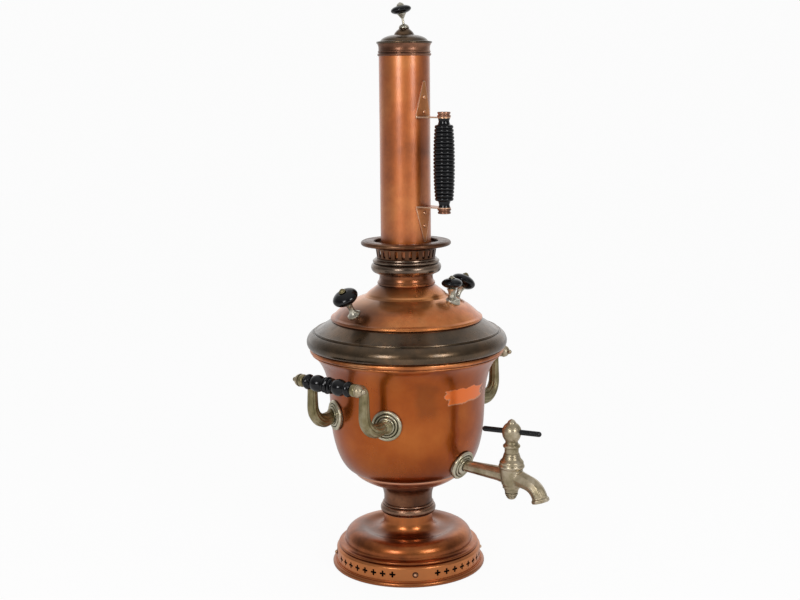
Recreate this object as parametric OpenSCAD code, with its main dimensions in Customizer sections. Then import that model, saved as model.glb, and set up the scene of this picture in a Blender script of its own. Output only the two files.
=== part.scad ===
// Charcoal samovar with a pierced foot, a vase-shaped bowl, a lift-off lid,
// a teapot crown, a draught pipe with its cap, two turned handles and a plug tap.
// Millimetres, +Z up. The tap points to -Y and the handles lie on +X and -X.
// The origin is the centre of the circle that the foot rests on.

/* [Sheet and fits] */
// Thickness of the spun copper sheet
sheet = 1.2; // [1:0.1:1.6]
// Thickness of the dark bronze castings' walls
cast_wall = 2.2; // [1.8:0.1:3]
// Gap between loose pieces that lift off each other
loose_gap = 0.3; // [0.25:0.05:0.4]
// Gap between pieces that are fixed to each other
fixed_gap = 0.1; // [0.05:0.05:0.15]

/* [Foot and stem] */
// Radius of the foot over its rolled rim
foot_r = 110.5; // [104:0.5:118]
// Radius of the foot's rolled rim in section
foot_rim_r = 3.5; // [3:0.25:4.5]
// Height of the pierced band up to the groove above it
foot_band_h = 26; // [23:1:32]
// Height of the convex roll above the band's bead
foot_roll_h = 22; // [18:1:28]
// Height of the foot from the roll's inner crease to the stem ring
foot_dish_h = 23.5; // [20:0.5:30]
// Radius of the stem
stem_r = 34.8; // [32:0.2:37]
// How far the dark ring stands out round the stem
stem_ring_out = 5.2; // [4:0.2:7]
// Height of the dark stem ring
stem_ring_h = 16; // [13:0.5:20]
// Height of the collar between the stem ring and the bowl
collar_h = 49; // [44:1:56]
// Radius of the collar's upper edge
collar_r = 78.5; // [74:0.5:80]
// Number of crosses in each quarter of the foot's band
crosses_per_quarter = 8; // [6:1:8]
// Angle between neighbouring crosses
cross_step = 7.8; // [6.8:0.1:8.4]
// Radius of one of the four lobes of a cross
cross_lobe_r = 1.6; // [1.3:0.05:1.8]
// Radius of a foot rivet's round head
foot_rivet_r = 4.2; // [3.6:0.1:4.8]

/* [Bowl] */
// Height of the bowl from its seat to the shoulder
bowl_h = 181; // [170:1:195]
// Radius of the bowl at its middle
bowl_r = 110.6; // [107:0.2:114]
// Radius of the bowl at its flared rim
bowl_rim_r = 134; // [131:0.5:138]
// Height of the copper band below the shoulder
rim_band_h = 10.5; // [8:0.5:13]
// How far the copper band stands out from the rim
rim_band_out = 3; // [2:0.25:4]
// Height of the dark shoulder ring
shoulder_h = 38.5; // [35:0.5:44]
// How far the shoulder's widest bead stands out over the rim
shoulder_out = 9.6; // [8:0.2:11]
// Radius of the opening that the lid drops into
mouth_r = 97.5; // [94:0.5:99]
// Radius of the fire tube at its foot
fire_foot_r = 50; // [46:1:54]
// Height at which the fire tube becomes straight, over the bowl's floor
fire_cone_h = 150; // [120:5:190]

/* [Lid and crown] */
// Radius of the lid over its beaded edge
lid_r = 108; // [106:0.5:110]
// Height of the lid from its seat to the foot of its neck
lid_h = 50; // [45:1:56]
// Radius of the lid's neck
neck_r = 37.8; // [37.4:0.1:38.6]
// Height of the bare copper neck
neck_h = 15.5; // [14:0.5:20]
// Height of the dark double ring on the neck
neck_ring_h = 22.5; // [20:0.5:25]
// How far the dark double ring stands out round the neck
neck_ring_out = 12.4; // [11:0.2:14]
// Height of the crown
crown_h = 24.6; // [22:0.2:28]
// Outer radius of the crown over its beaded edge
crown_r = 63.6; // [58:0.2:70]
// Number of slots round the crown
crown_slots = 26; // [20:1:28]
// Width of a slot in the crown
crown_slot_w = 3.4; // [2.6:0.2:4]
// Distance of the lid knobs from the middle
knob_reach = 93; // [90:0.5:95]
// Lean of the lid knobs away from the middle
knob_lean = 30; // [26:1:33]
// Radius of a lid knob
knob_r = 18.2; // [16:0.2:20]
// Half the height of a lid knob
knob_half = 10; // [8:0.5:11]
// Distance from the lid to the middle of a lid knob, along its stem
knob_stand = 29.5; // [27:0.5:34]
// Distance of the steam vent from the middle
vent_reach = 70; // [68:0.5:72]
// Radius of the vent's black disc
vent_r = 14.6; // [13:0.2:16]

/* [Draught pipe] */
// Radius of the draught pipe
pipe_r = 35.4; // [35:0.1:36]
// Length of the draught pipe
pipe_l = 290; // [270:5:320]
// How deep the draught pipe sits over the fire tube
pipe_lap = 22; // [16:1:28]
// Distance of the pipe's grip from the middle
grip_reach = 73; // [70:0.5:80]
// Length of the black grip
grip_l = 121; // [100:1:126]
// Radius of the black grip over its rings
grip_r = 14.8; // [12:0.2:16]
// Number of rings turned on the grip
grip_rings = 21; // [15:1:23]
// Height of the grip's lower end over the crown
grip_rise = 50.5; // [46:0.5:56]
// Turn of the grip away from the tap
grip_turn = 3.5; // [-10:0.5:10]
// Radius of the cap's flange
cap_r = 38.6; // [37.8:0.2:42]
// Height of the cap's skirt over the pipe
cap_skirt_h = 17; // [15:0.5:20]
// Height of the cap's dark dome and peak
cap_dome_h = 21; // [18:0.5:26]
// Radius of the black knob on the cap
cap_knob_r = 14.2; // [12:0.2:17]
// Lean of the cap's bent spindle
spindle_lean = 10; // [0:1:12]

/* [Handles] */
// Height of the handle rosettes over the foot's rest plane
handle_z = 229; // [224:1:234]
// Half the distance between the two arms of a handle
handle_half = 47.5; // [44:0.5:50]
// Distance of the handle bar from the middle
bar_reach = 164; // [161:0.5:170]
// Height of the handle bar over the rosettes
bar_rise = 64; // [60:1:70]
// Distance of an arm's upright part from the middle
arm_reach = 146; // [143:0.5:148]
// Radius of an arm in section at its foot
arm_r = 7; // [6.4:0.1:7.4]
// Radius of an arm in section at its top
arm_top_r = 5.6; // [5:0.1:6.2]
// Radius of the handle bar over its balls
bar_r = 11.6; // [10:0.2:13]
// Radius of the rosettes
rosette_r = 21.5; // [19:0.5:23]
// Height of the stepped rosettes
rosette_h = 8; // [7:0.5:9]

/* [Tap] */
// Height of the tap's barrel over the foot's rest plane
tap_z = 163; // [160:1:168]
// Distance of the tap's plug from the middle
tap_reach = 184; // [178:1:192]
// Downward lean of the tap's rosette
tap_lean = 20; // [16:1:24]
// Radius of the waterway through the tap
tap_bore = 4.5; // [4:0.1:5]
// Radius of the spout
spout_r = 9.6; // [9:0.1:10.4]
// Distance from the plug to the spout's mouth
spout_reach = 54; // [50:1:60]
// Downward slope of the spout where it leaves the housing
spout_slope = 14; // [10:1:18]
// Height of the key's cross bar over the tap's housing
key_rise = 33; // [31:0.5:36]
// Length of the key's black cross bar
key_bar_l = 85; // [76:1:96]
// Radius of the key's black cross bar
key_bar_r = 3.7; // [3.2:0.1:4.2]
// Turn of the key's cross bar away from the line of the spout
key_turn = 15; // [0:1:30]

/* [Hidden] */
$fn = 72;

copper = "#a0552c";
bronze = "#46392f";
nickel = "#9c9373";
ebony = "#16161a";
iron = "#4a4a4c";

// Angles of the four sides round the axis, from +X towards +Y
tap_side = -90;
// Side that the cap's bent spindle leans to
lean_side = 130;
left_side = 180;
right_side = 0;

// Levels of the stack, each resting on the one before
rim_flat = 0.3;
z_rim = foot_rim_r - rim_flat;
z_bead = foot_band_h + 5;
z_roll = z_bead + 2 + foot_roll_h;
z_crease = z_roll - 2.5;
z_ring = z_crease + foot_dish_h;
z_collar = z_ring + stem_ring_h;
z_bowl = z_collar + collar_h;
z_shoulder = z_bowl + bowl_h;
z_seat = z_shoulder + shoulder_h;
z_neck = z_seat + lid_h;
z_neck_ring = z_neck + neck_h;
z_crown = z_neck_ring + neck_ring_h;
z_crown_top = z_crown + crown_h;
z_tube_top = z_crown_top + 1;
z_pipe = z_tube_top - pipe_lap;
z_pipe_top = z_pipe + pipe_l;
z_cap = z_pipe_top - 13.5;
z_cap_top = z_cap + cap_skirt_h;
z_spindle = z_cap_top + cap_dome_h;
z_grip = z_crown_top + grip_rise;
z_floor = z_bowl + sheet;

// Points on an arc, from one angle to another
function arc(cx, cz, r, a0, a1, n) =
    [for (i = [0:n]) let (a = a0 + (a1 - a0) * i / n) [cx + r * cos(a), cz + r * sin(a)]];
// Points on half of a flattened bead that stands out by w between two levels
function bead(cx, z0, z1, w, n) =
    [for (i = [0:n]) let (a = -90 + 180 * i / n) [cx + w * cos(a), (z0 + z1) / 2 + (z1 - z0) / 2 * sin(a)]];
// Points on a smooth curve between a and d that leaves towards b and arrives from c
function curve(a, b, c, d, n) =
    [for (i = [0:n]) let (t = i / n, u = 1 - t)
        u * u * u * a + 3 * u * u * t * b + 3 * u * t * t * c + t * t * t * d];
// A path with points that lie on each other taken out
function distinct(p) = [for (i = [0:len(p) - 1]) if (i == 0 || norm(p[i] - p[i - 1]) > 0.02) p[i]];
// The same path moved to its left by t
function shifted(p, t) =
    [for (i = [0:len(p) - 1])
        let (a = p[max(0, i - 1)], b = p[min(len(p) - 1, i + 1)], d = (b - a) / norm(b - a))
        p[i] + t * [-d[1], d[0]]];
function reversed(p) = [for (i = [len(p) - 1:-1:0]) p[i]];

module turned(points) rotate_extrude() polygon(distinct(points));
// A spun sheet of thickness t whose outer face follows the path
module spun(path, t) {
    p = distinct(path);
    rotate_extrude() polygon(concat(p, reversed(shifted(p, t))));
}
// A hole or pin along X, from one distance to another
module rod_x(x0, x1, r) translate([x0, 0, 0]) rotate([0, 90, 0]) cylinder(h = x1 - x0, r = r, $fn = 32);

// ---- Foot ----
band_r = foot_r - foot_rim_r - 2.4;
rivet_z = foot_band_h / 2 + 4;
rivet_shank_r = 1.6;
plate_t = 1;
plate_z = z_rim + 2;
tab_w = 13;
spigot_r = stem_r - sheet - fixed_gap;
spigot_h = stem_ring_h + 10;
crease_r = band_r - 40;

foot_outline = distinct(concat(
    [[band_r, z_rim], [band_r, foot_band_h - 1]],
    [[band_r - 2.4, foot_band_h + 1.5], [band_r - 4, z_bead - 2]],
    arc(band_r - 5.4, z_bead, 2.2, -50, 90, 8),
    curve([band_r - 7, z_bead + 2.2], [band_r - 11, z_bead + 2.8], [band_r - 13.6, z_bead + 5.6],
          [band_r - 15, z_bead + 11], 7),
    curve([band_r - 15.3, z_bead + 12.4], [band_r - 16.6, z_roll - 6], [band_r - 24, z_roll],
          [band_r - 34, z_roll], 12),
    curve([band_r - 36, z_roll], [band_r - 38, z_roll], [crease_r + 0.6, z_crease + 1],
          [crease_r, z_crease], 4),
    curve([crease_r - 1.5, z_crease], [crease_r - 14, z_crease + 0.5],
          [stem_r + 2.5, z_crease + 11], [stem_r, z_ring], 14)
));

module foot_wall() {
    inner = shifted(foot_outline, sheet);
    section = concat(foot_outline, [[spigot_r, z_ring], [spigot_r, z_ring + spigot_h],
        [spigot_r - sheet, z_ring + spigot_h]], reversed(inner));
    turned(section);
    intersection() {
        rotate_extrude() translate([foot_r - foot_rim_r, z_rim]) circle(r = foot_rim_r, $fn = 40);
        cylinder(h = 2 * foot_rim_r + 1, r = foot_r + 5);
    }
}

module cross_cutter() {
    reach = 1.36 * cross_lobe_r;
    for (p = [[0, 0, 0.85], [1, 0, 1], [-1, 0, 1], [0, 1, 1], [0, -1, 1]])
        translate([0, p[0] * reach, p[1] * reach]) rod_x(band_r - 6, band_r + 4, cross_lobe_r * p[2]);
}

module foot() {
    color(copper) difference() {
        foot_wall();
        for (q = [0:3], i = [0:crosses_per_quarter - 1])
            rotate([0, 0, 90 * q + cross_step * (i - (crosses_per_quarter - 1) / 2)])
                translate([0, 0, rivet_z]) cross_cutter();
        for (q = [0:3]) rotate([0, 0, 45 + 90 * q]) translate([0, 0, rivet_z])
            rod_x(band_r - 6, band_r + 4, rivet_shank_r + fixed_gap);
    }
}

// The ash plate inside the foot, with four tabs turned up behind the band
module foot_plate() {
    plate_r = band_r - sheet - fixed_gap;
    color(iron) difference() {
        union() {
            translate([0, 0, plate_z]) cylinder(h = plate_t, r = plate_r);
            intersection() {
                translate([0, 0, plate_z]) difference() {
                    cylinder(h = rivet_z + 5 - plate_z, r = plate_r);
                    translate([0, 0, -1]) cylinder(h = rivet_z + 10, r = plate_r - plate_t);
                }
                for (q = [0:1]) rotate([0, 0, 45 + 90 * q])
                    translate([-foot_r, -tab_w / 2, 0]) cube([2 * foot_r, tab_w, rivet_z + 10]);
            }
        }
        for (q = [0:3]) rotate([0, 0, 45 + 90 * q]) translate([0, 0, rivet_z])
            rod_x(plate_r - 4, plate_r + 4, rivet_shank_r + fixed_gap);
    }
}

module foot_rivets() {
    tail = band_r - sheet - fixed_gap - plate_t;
    color(copper) for (q = [0:3]) rotate([0, 0, 45 + 90 * q]) translate([0, 0, rivet_z]) {
        rod_x(tail - 1.5, band_r + 1, rivet_shank_r);
        rod_x(tail - 1.5, tail - 0.15, rivet_shank_r + 1.2);
        translate([band_r + 0.1, 0, 0]) rotate([0, 90, 0])
            turned(concat([[0, 0], [foot_rivet_r, 0], [foot_rivet_r, 0.4], [0.66 * foot_rivet_r, 0.7]],
                arc(0, 0.7, 0.62 * foot_rivet_r, 0, 90, 8)));
    }
}

// ---- Stem ----
module stem_ring() {
    ring_bore = stem_r - sheet;
    color(bronze) turned(concat(
        [[ring_bore, z_ring], [stem_r + 1.2, z_ring]],
        bead(stem_r + 1.2, z_ring + 0.6, z_collar - 3.4, stem_ring_out - 1.2, 12),
        arc(stem_r + 0.6, z_collar - 1.7, 1.7, -80, 90, 6),
        [[ring_bore, z_collar]]
    ));
}

module stem_collar() {
    color(copper) spun(concat(
        [[stem_r, z_collar], [stem_r, z_collar + 7]],
        curve([stem_r, z_collar + 9], [stem_r + 0.4, z_collar + 16], [stem_r + 3, z_collar + 24],
              [stem_r + 7.5, z_collar + 26], 8),
        curve([stem_r + 11, z_collar + 27.5], [collar_r - 22, z_bowl - 17], [collar_r - 8, z_bowl - 11],
              [collar_r - 1, z_bowl - 3], 10),
        [[collar_r, z_bowl - 1.4], [collar_r, z_bowl]]
    ), sheet);
}

// ---- Bowl ----
bowl_mid = [bowl_r, z_bowl + 84];
bowl_outline = distinct(concat(
    [[fire_foot_r - 16, z_bowl], [collar_r + 0.5, z_bowl]],
    curve([collar_r + 1.4, z_bowl + 0.4], [bowl_r - 10.6, z_bowl + 9.5], [bowl_r - 1.1, z_bowl + 47], bowl_mid, 16),
    curve(bowl_mid, bowl_mid + [0.8, 25], [bowl_r, z_shoulder - rim_band_h - 19],
          [bowl_rim_r - 0.6, z_shoulder - rim_band_h - 0.5], 16),
    [[bowl_rim_r, z_shoulder - rim_band_h + 0.6], [bowl_rim_r, z_shoulder]]
));

bowl_curve = [for (i = [2:len(bowl_outline) - 1]) [bowl_outline[i][1], bowl_outline[i][0]]];
// The bowl's outer radius at a height
function bowl_x(z) = lookup(z, bowl_curve);

// The space inside the bowl's outer face, grown by a gap
module bowl_solid(gap) {
    grown = shifted(bowl_outline, -gap);
    turned(concat([[0, z_bowl - gap]], grown, [[0, z_shoulder]]));
}
// The space inside the bowl's inner face, shrunk by a gap
module bowl_space(gap) {
    inner = shifted(bowl_outline, sheet + gap);
    turned(concat([[0, z_floor + gap]], inner, [[0, z_shoulder]]));
}

// The angle of a rosette from its handle's own line
rosette_turn = asin(handle_half / (bowl_r + 0.4));
stud_r = 3;
shank_r = 7;

// Radius of the bowl's wall where the tap goes through it
tap_wall_x = bowl_x(tap_z);

module to_rosette(side, end)
    rotate([0, 0, side]) rotate([0, 0, end * rosette_turn]) translate([0, 0, handle_z]) children();

module bowl() {
    color(copper) difference() {
        spun(bowl_outline, sheet);
        for (side = [left_side, right_side], end = [-1, 1])
            to_rosette(side, end) rod_x(bowl_r - 8, bowl_r + 8, stud_r + fixed_gap);
        rotate([0, 0, tap_side]) translate([0, 0, tap_z])
            rod_x(tap_wall_x - 20, tap_wall_x + 20, shank_r + fixed_gap);
    }
}

module rim_band() {
    bore = bowl_rim_r + fixed_gap;
    z0 = z_shoulder - rim_band_h;
    color(copper) turned(concat(
        [[bore, z0 + 1]],
        bead(bore + 0.6, z0 + 1, z0 + 4, rim_band_out - 0.9, 8),
        [[bore + 0.9, z0 + 4.6], [bore + 0.9, z_shoulder - 4]],
        bead(bore + 0.6, z_shoulder - 3.6, z_shoulder, rim_band_out - 0.6, 8),
        [[bore, z_shoulder]]
    ));
}

// ---- Shoulder ----
crease_out = bowl_rim_r - 2.6;
z_step = z_seat - 17.5;
shoulder_outline = distinct(concat(
    [[bowl_rim_r - 3, z_shoulder], [bowl_rim_r + 4.6, z_shoulder]],
    curve([bowl_rim_r + 5, z_shoulder + 0.3], [bowl_rim_r + shoulder_out + 1, z_shoulder + 3],
          [bowl_rim_r + shoulder_out + 1.2, z_step - 6], [crease_out + 2.2, z_step], 14),
    [[crease_out, z_step]],
    curve([crease_out - 1.2, z_step + 1.2], [crease_out - 8, z_step + 7], [lid_r + 8, z_seat - 4.5],
          [lid_r - 1, z_seat], 8),
    [[mouth_r, z_seat]]
));
module shoulder_ring() color(bronze) spun(shoulder_outline, cast_wall);

// ---- Fire tube and grate ----
tube_r = pipe_r - sheet - loose_gap;
tube_wall = 1.5;
ash_hole_r = fire_foot_r - 16;

z_cone = z_floor + fire_cone_h;
fire_flange = 5;

// The fire tube's tapered foot, with its flange on the bowl's floor
module fire_cone() {
    color(copper) turned([
        [fire_foot_r - tube_wall, z_floor], [fire_foot_r + fire_flange, z_floor],
        [fire_foot_r + fire_flange, z_floor + tube_wall], [fire_foot_r, z_floor + tube_wall + 2],
        [tube_r, z_cone], [tube_r - tube_wall, z_cone], [fire_foot_r - tube_wall, z_floor + tube_wall + 2]
    ]);
}

module fire_tube() {
    stop_h = 2.4;
    color(copper) turned([
        [tube_r, z_cone], [tube_r, z_pipe - stop_h], [pipe_r - 0.2, z_pipe - stop_h], [pipe_r - 0.2, z_pipe],
        [tube_r, z_pipe], [tube_r, z_tube_top], [tube_r - tube_wall, z_tube_top], [tube_r - tube_wall, z_cone]
    ]);
}

module fire_grate() {
    grate_r = fire_foot_r - tube_wall - 0.6;
    grate_h = 5;
    slot_w = 5;
    color(iron) translate([0, 0, z_floor]) difference() {
        cylinder(h = grate_h, r = grate_r);
        for (i = [-2:2])
            translate([-ash_hole_r * 0.72, 12 * i - slot_w / 2, -1])
                cube([ash_hole_r * 1.44, slot_w, grate_h + 2]);
    }
}

// ---- Rosettes, handle arms and bars ----
module rosette_steps() {
    turned(concat(
        [[0, -6], [rosette_r - 1.5, -6]],
        bead(rosette_r - 2.2, -1.5, 3.6, 2.2, 8),
        bead(rosette_r - 6.4, 3.6, rosette_h - 2, 1.8, 6),
        bead(rosette_r - 10, rosette_h - 2, rosette_h, 1.4, 6),
        [[0, rosette_h]]
    ));
}

module rosette(side, end) {
    color(nickel) difference() {
        to_rosette(side, end) translate([bowl_r + 0.6, 0, 0]) rotate([0, 90, 0]) rosette_steps();
        bowl_solid(fixed_gap / 2);
        to_rosette(side, end) rod_x(bowl_r - 10, bowl_r + 20, stud_r + fixed_gap);
    }
}

arm_bend = 25;
crook_bend = 10;
eye_r = 8.4;
eye_half = 4.5;
bolt_r = 2.5;
bar_z = handle_z + bar_rise;
boss_r = 8.6;

// A quarter ring in the X-Z plane round a centre, from an angle on
module bend_xz(cx, cz, r, from, thick) translate([cx, 0, cz]) rotate([90, 0, 0]) rotate([0, 0, from])
    rotate_extrude(angle = 90) translate([r, 0]) circle(r = thick, $fn = 32);

module arm_path() {
    root_x = round((bowl_r + rosette_h) * cos(rosette_turn)) - 3;
    low_x = arm_reach - arm_bend;
    rod_x(root_x, low_x, arm_r);
    bend_xz(low_x, arm_bend, arm_bend, -90, arm_r);
    translate([arm_reach, 0, arm_bend])
        cylinder(h = bar_rise - arm_bend - crook_bend, r1 = arm_r, r2 = arm_top_r, $fn = 32);
    bend_xz(arm_reach + crook_bend, bar_rise - crook_bend, crook_bend, 90, arm_top_r);
    translate([0, 0, bar_rise]) rod_x(arm_reach + crook_bend, bar_reach, arm_top_r);
}

module arm(side, end) {
    color(nickel) difference() {
        union() {
            rotate([0, 0, side]) translate([0, end * handle_half, handle_z]) difference() {
                union() {
                    arm_path();
                    translate([bar_reach, -eye_half, bar_rise]) rotate([-90, 0, 0])
                        cylinder(h = 2 * eye_half, r = eye_r, $fn = 40);
                }
                for (s = [-1, 1]) translate([bar_reach - 20, s * (eye_half + 20) - 20, bar_rise - 20])
                    cube([40, 40, 40]);
            }
            to_rosette(side, end) rod_x(bowl_r + 0.6 + rosette_h, bowl_r + 0.6 + rosette_h + 5, boss_r);
            to_rosette(side, end) rod_x(bowl_r - 12, bowl_r + rosette_h + 4, stud_r);
        }
        rotate([0, 0, side]) translate([bar_reach, end * handle_half - 20, handle_z + bar_rise])
            rotate([-90, 0, 0]) cylinder(h = 40, r = bolt_r + fixed_gap, $fn = 32);
        difference() {
            to_rosette(side, end) rod_x(bowl_r, bowl_r + 0.6 + rosette_h, rosette_r + 10);
            to_rosette(side, end) rod_x(bowl_r - 1, bowl_r + 1 + rosette_h, stud_r);
        }
    }
}

// Nuts on the studs of the four arms, inside the bowl
module arm_nuts() {
    nut_h = 5;
    nut_r = 7;
    seat = bowl_r - sheet - 0.5;
    color(nickel) for (side = [left_side, right_side], end = [-1, 1])
        to_rosette(side, end) difference() {
            translate([seat - nut_h, 0, 0]) rotate([0, 90, 0]) cylinder(h = nut_h, r = nut_r, $fn = 6);
            rod_x(seat - nut_h - 1, seat + 1, stud_r + 0.05);
        }
}

bar_half = handle_half - eye_half;
bar_core_r = 6;
// The turned bar's rings, balls and end beads: each one's middle and half length as
// shares of half the bar, and its radius as a share of the bar's
bar_turns = [[0, 0.07, 1], [0.133, 0.067, 0.92], [-0.133, 0.067, 0.92], [0.456, 0.251, 1], [-0.456, 0.251, 1],
    [0.847, 0.13, 0.92], [-0.847, 0.13, 0.92]];
function bar_radius(y) = max([bar_core_r, for (b = bar_turns)
    let (off = abs(y / bar_half - b[0]) / b[1]) off < 1 ? bar_r * b[2] * sqrt(1 - pow(off, 2) * 0.72) : 0]);

module to_bar(side) rotate([0, 0, side]) translate([bar_reach, 0, bar_z]) rotate([-90, 0, 0]) children();

module bar(side) {
    steps = 84;
    bore = bolt_r + fixed_gap;
    color(ebony) to_bar(side) turned(concat(
        [[bore, -bar_half], [bar_core_r, -bar_half]],
        [for (i = [1:steps - 1]) let (y = -bar_half + 2 * bar_half * i / steps) [bar_radius(y), y]],
        [[bar_core_r, bar_half], [bore, bar_half]]
    ));
}

acorn_r = 9;
acorn_z = handle_half + eye_half;
acorn_outline = concat(
    [[acorn_r - 1, 0]],
    bead(acorn_r - 1, 0, 2, 1, 6),
    curve([acorn_r - 0.8, 2], [acorn_r - 0.6, 5], [4.6, 8], [3.2, 8.6], 8),
    arc(0, 10.6, 3.4, -32, 90, 8)
);

module bar_bolt(side) color(nickel) to_bar(side) {
    translate([0, 0, -acorn_z - 7]) cylinder(h = 2 * acorn_z + 12, r = bolt_r, $fn = 32);
    translate([0, 0, -acorn_z]) mirror([0, 0, 1]) turned(concat([[0, 0]], acorn_outline));
}

module bar_nut(side) color(nickel) to_bar(side) translate([0, 0, acorn_z]) difference() {
    turned(concat([[0, 0]], acorn_outline));
    translate([0, 0, -1]) cylinder(h = 6.5, r = bolt_r + 0.05, $fn = 32);
}

// ---- Tap ----
plug_top_r = 9.2;
plug_end_r = 7.2;
house_up = 29.5;
house_down = 20;
z_house_top = tap_z + house_up;
z_house_end = tap_z - house_down;
plug_gap = 0.08;
spout_turn = 48;
spout_bend = 37;
spout_start = 2;
lip_h = 6;

module at_tap() rotate([0, 0, tap_side]) children();
// The barrel starts clear of the bowl's slope
barrel_r = 7.8;
barrel_x = round(bowl_x(tap_z + barrel_r + 2)) + 3;
spout_run = round(spout_reach - spout_bend * 0.75);

module at_plug() at_tap() translate([tap_reach, 0, 0]) children();
function plug_r(z) = plug_end_r + (plug_top_r - plug_end_r) * (z - z_house_end) / (z_house_top - z_house_end);

module tap_rosette() {
    color(nickel) difference() {
        at_tap() translate([tap_wall_x + 0.4, 0, tap_z]) rotate([0, 90 + tap_lean, 0]) rosette_steps();
        bowl_solid(fixed_gap / 2);
        at_tap() translate([0, 0, tap_z]) rod_x(tap_wall_x - 20, tap_wall_x + 20, barrel_r + 0.6);
    }
}

// A place along the spout: its arc leaves a straight run of length spout_run
module along_spout() at_plug() translate([0, 0, tap_z + spout_start]) rotate([0, spout_slope, 0]) children();
module spout_arc(r) translate([spout_run, 0, -spout_bend]) rotate([90, 0, 0]) mirror([1, 0, 0]) rotate([0, 0, 90])
    rotate_extrude(angle = spout_turn) translate([spout_bend, 0]) circle(r = r, $fn = 40);
module at_mouth() along_spout()
    translate([spout_run + spout_bend * sin(spout_turn), 0, spout_bend * (cos(spout_turn) - 1)])
        rotate([0, 90 + spout_turn, 0]) children();

// The tap's housing, barrel and spout in one casting
module tap_body() {
    color(nickel) difference() {
        union() {
            at_tap() translate([0, 0, tap_z]) {
                rod_x(tap_wall_x - 12, barrel_x, shank_r);
                translate([barrel_x, 0, 0]) rotate([0, 90, 0])
                    cylinder(h = tap_reach - barrel_x, r1 = barrel_r, r2 = barrel_r + 4, $fn = 40);
            }
            at_plug() turned(concat(
                [[0, z_house_end], [9.8, z_house_end], [10, z_house_end + 3]],
                [[12, z_house_end + 3.6], [12.4, z_house_end + 8], [13.6, z_house_end + 9]],
                curve([13.8, z_house_end + 10], [15, z_house_end + 16], [15.6, z_house_end + 22],
                      [15.8, tap_z + 11], 4),
                bead(15.8, tap_z + 12, tap_z + 17, 1.9, 6),
                curve([17.2, tap_z + 17.6], [17.4, tap_z + 22], [14, tap_z + 23], [12.4, z_house_top - 3.4], 6),
                [[11.4, z_house_top], [0, z_house_top]]
            ));
            along_spout() {
                rod_x(0, spout_run, spout_r);
                spout_arc(spout_r);
            }
            at_mouth() translate([0, 0, -1.5]) cylinder(h = lip_h, r = spout_r + 0.7, $fn = 40);
        }
        // Tapered seat of the plug and the waterways
        at_plug() turned([
            [0, z_house_end - 1], [plug_r(z_house_end - 1) + plug_gap, z_house_end - 1],
            [plug_r(z_house_top + 1) + plug_gap, z_house_top + 1], [0, z_house_top + 1]
        ]);
        at_tap() translate([0, 0, tap_z]) rod_x(tap_wall_x - 20, tap_reach, tap_bore);
        along_spout() {
            rod_x(0, spout_run, tap_bore);
            spout_arc(tap_bore);
        }
        at_mouth() translate([0, 0, -1]) cylinder(h = lip_h + 2, r = tap_bore + 1.5, $fn = 40);
    }
}

// Nut on the tap's shank inside the bowl, cut to the bowl's slope
module tap_nut() {
    color(nickel) difference() {
        intersection() {
            at_tap() translate([tap_wall_x - 11, 0, tap_z]) rotate([0, 90, 0])
                cylinder(h = 20, r = shank_r + 5, $fn = 6);
            bowl_space(fixed_gap / 2);
        }
        at_tap() translate([0, 0, tap_z]) rod_x(tap_wall_x - 20, tap_wall_x + 20, shank_r + 0.05);
    }
}

key_z = z_house_top + key_rise;
ball_r = 13.2;
finial_r = 6.2;
finial_up = 11.6;
washer_h = 2;
end_nut_h = 10.4;

module tap_plug() {
    color(nickel) at_plug() difference() {
        turned(concat(
            [[0, z_house_end - washer_h - 6], [4, z_house_end - washer_h - 6], [4, z_house_end + 0.5]],
            [[plug_r(z_house_end + 0.5), z_house_end + 0.5], [plug_r(z_house_top), z_house_top]],
            [[11.2, z_house_top], [10.6, z_house_top + 2.4], [9.6, z_house_top + 3], [9.6, z_house_top + 10]],
            bead(9.8, z_house_top + 10.4, z_house_top + 15.4, 2, 8),
            [[9, z_house_top + 16.4], [8.4, z_house_top + 19]],
            curve([8.6, z_house_top + 19.4], [9.6, z_house_top + 22], [ball_r, key_z - 8], [ball_r, key_z], 8),
            arc(0, key_z, ball_r, 6, 60, 6),
            [[finial_r, key_z + finial_up], [0, key_z + finial_up]]
        ));
        translate([0, 0, key_z]) rotate([0, 0, key_turn])
            rod_x(-20, 20, key_bar_r + fixed_gap);
        translate([0, 0, key_z + key_bar_r + 0.5]) cylinder(h = 12, r = 2.6, $fn = 24);
        // Waterway through the plug, square to the cross bar, so it is shut as it stands
        translate([0, 0, tap_z]) rotate([0, 0, key_turn + 90]) rod_x(-15, 15, tap_bore);
    }
}

module tap_key_bar() {
    half = key_bar_l / 2;
    color(ebony) at_plug() translate([0, 0, key_z]) rotate([0, 0, key_turn]) rotate([0, 90, 0])
        turned(concat(
            arc(0, -half + key_bar_r, key_bar_r, -90, 0, 6),
            arc(0, half - key_bar_r, key_bar_r, 0, 90, 6)
        ));
}

module tap_finial() color(nickel) at_plug() {
    base = key_z + finial_up;
    turned(concat(
        [[0, base], [finial_r, base]],
        curve([finial_r - 0.2, base + 0.6], [5.2, base + 3], [3.2, base + 4.2], [1.6, base + 5.2], 6),
        [[0, base + 5.8]]
    ));
    translate([0, 0, key_z + key_bar_r + 0.9]) cylinder(h = 8, r = 2.5, $fn = 24);
}

module tap_washer() color(nickel) at_plug() translate([0, 0, z_house_end - washer_h - 0.1]) difference() {
    cylinder(h = washer_h, r = 9.2);
    translate([0, 0, -1]) cylinder(h = washer_h + 2, r = 4.05, $fn = 32);
}

module tap_end_nut() {
    top = z_house_end - washer_h - 0.1;
    low = top - end_nut_h;
    color(nickel) at_plug() difference() {
        turned(concat(
            [[0, low]],
            curve([3, low], [6, low + 0.8], [7.6, low + 2], [7.7, low + 4], 6),
            [[8.6, low + 6.6], [9, top - 1.6], [8.4, top], [0, top]]
        ));
        translate([0, 0, top - 6.2]) cylinder(h = 7, r = 4.05, $fn = 32);
    }
}

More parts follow.
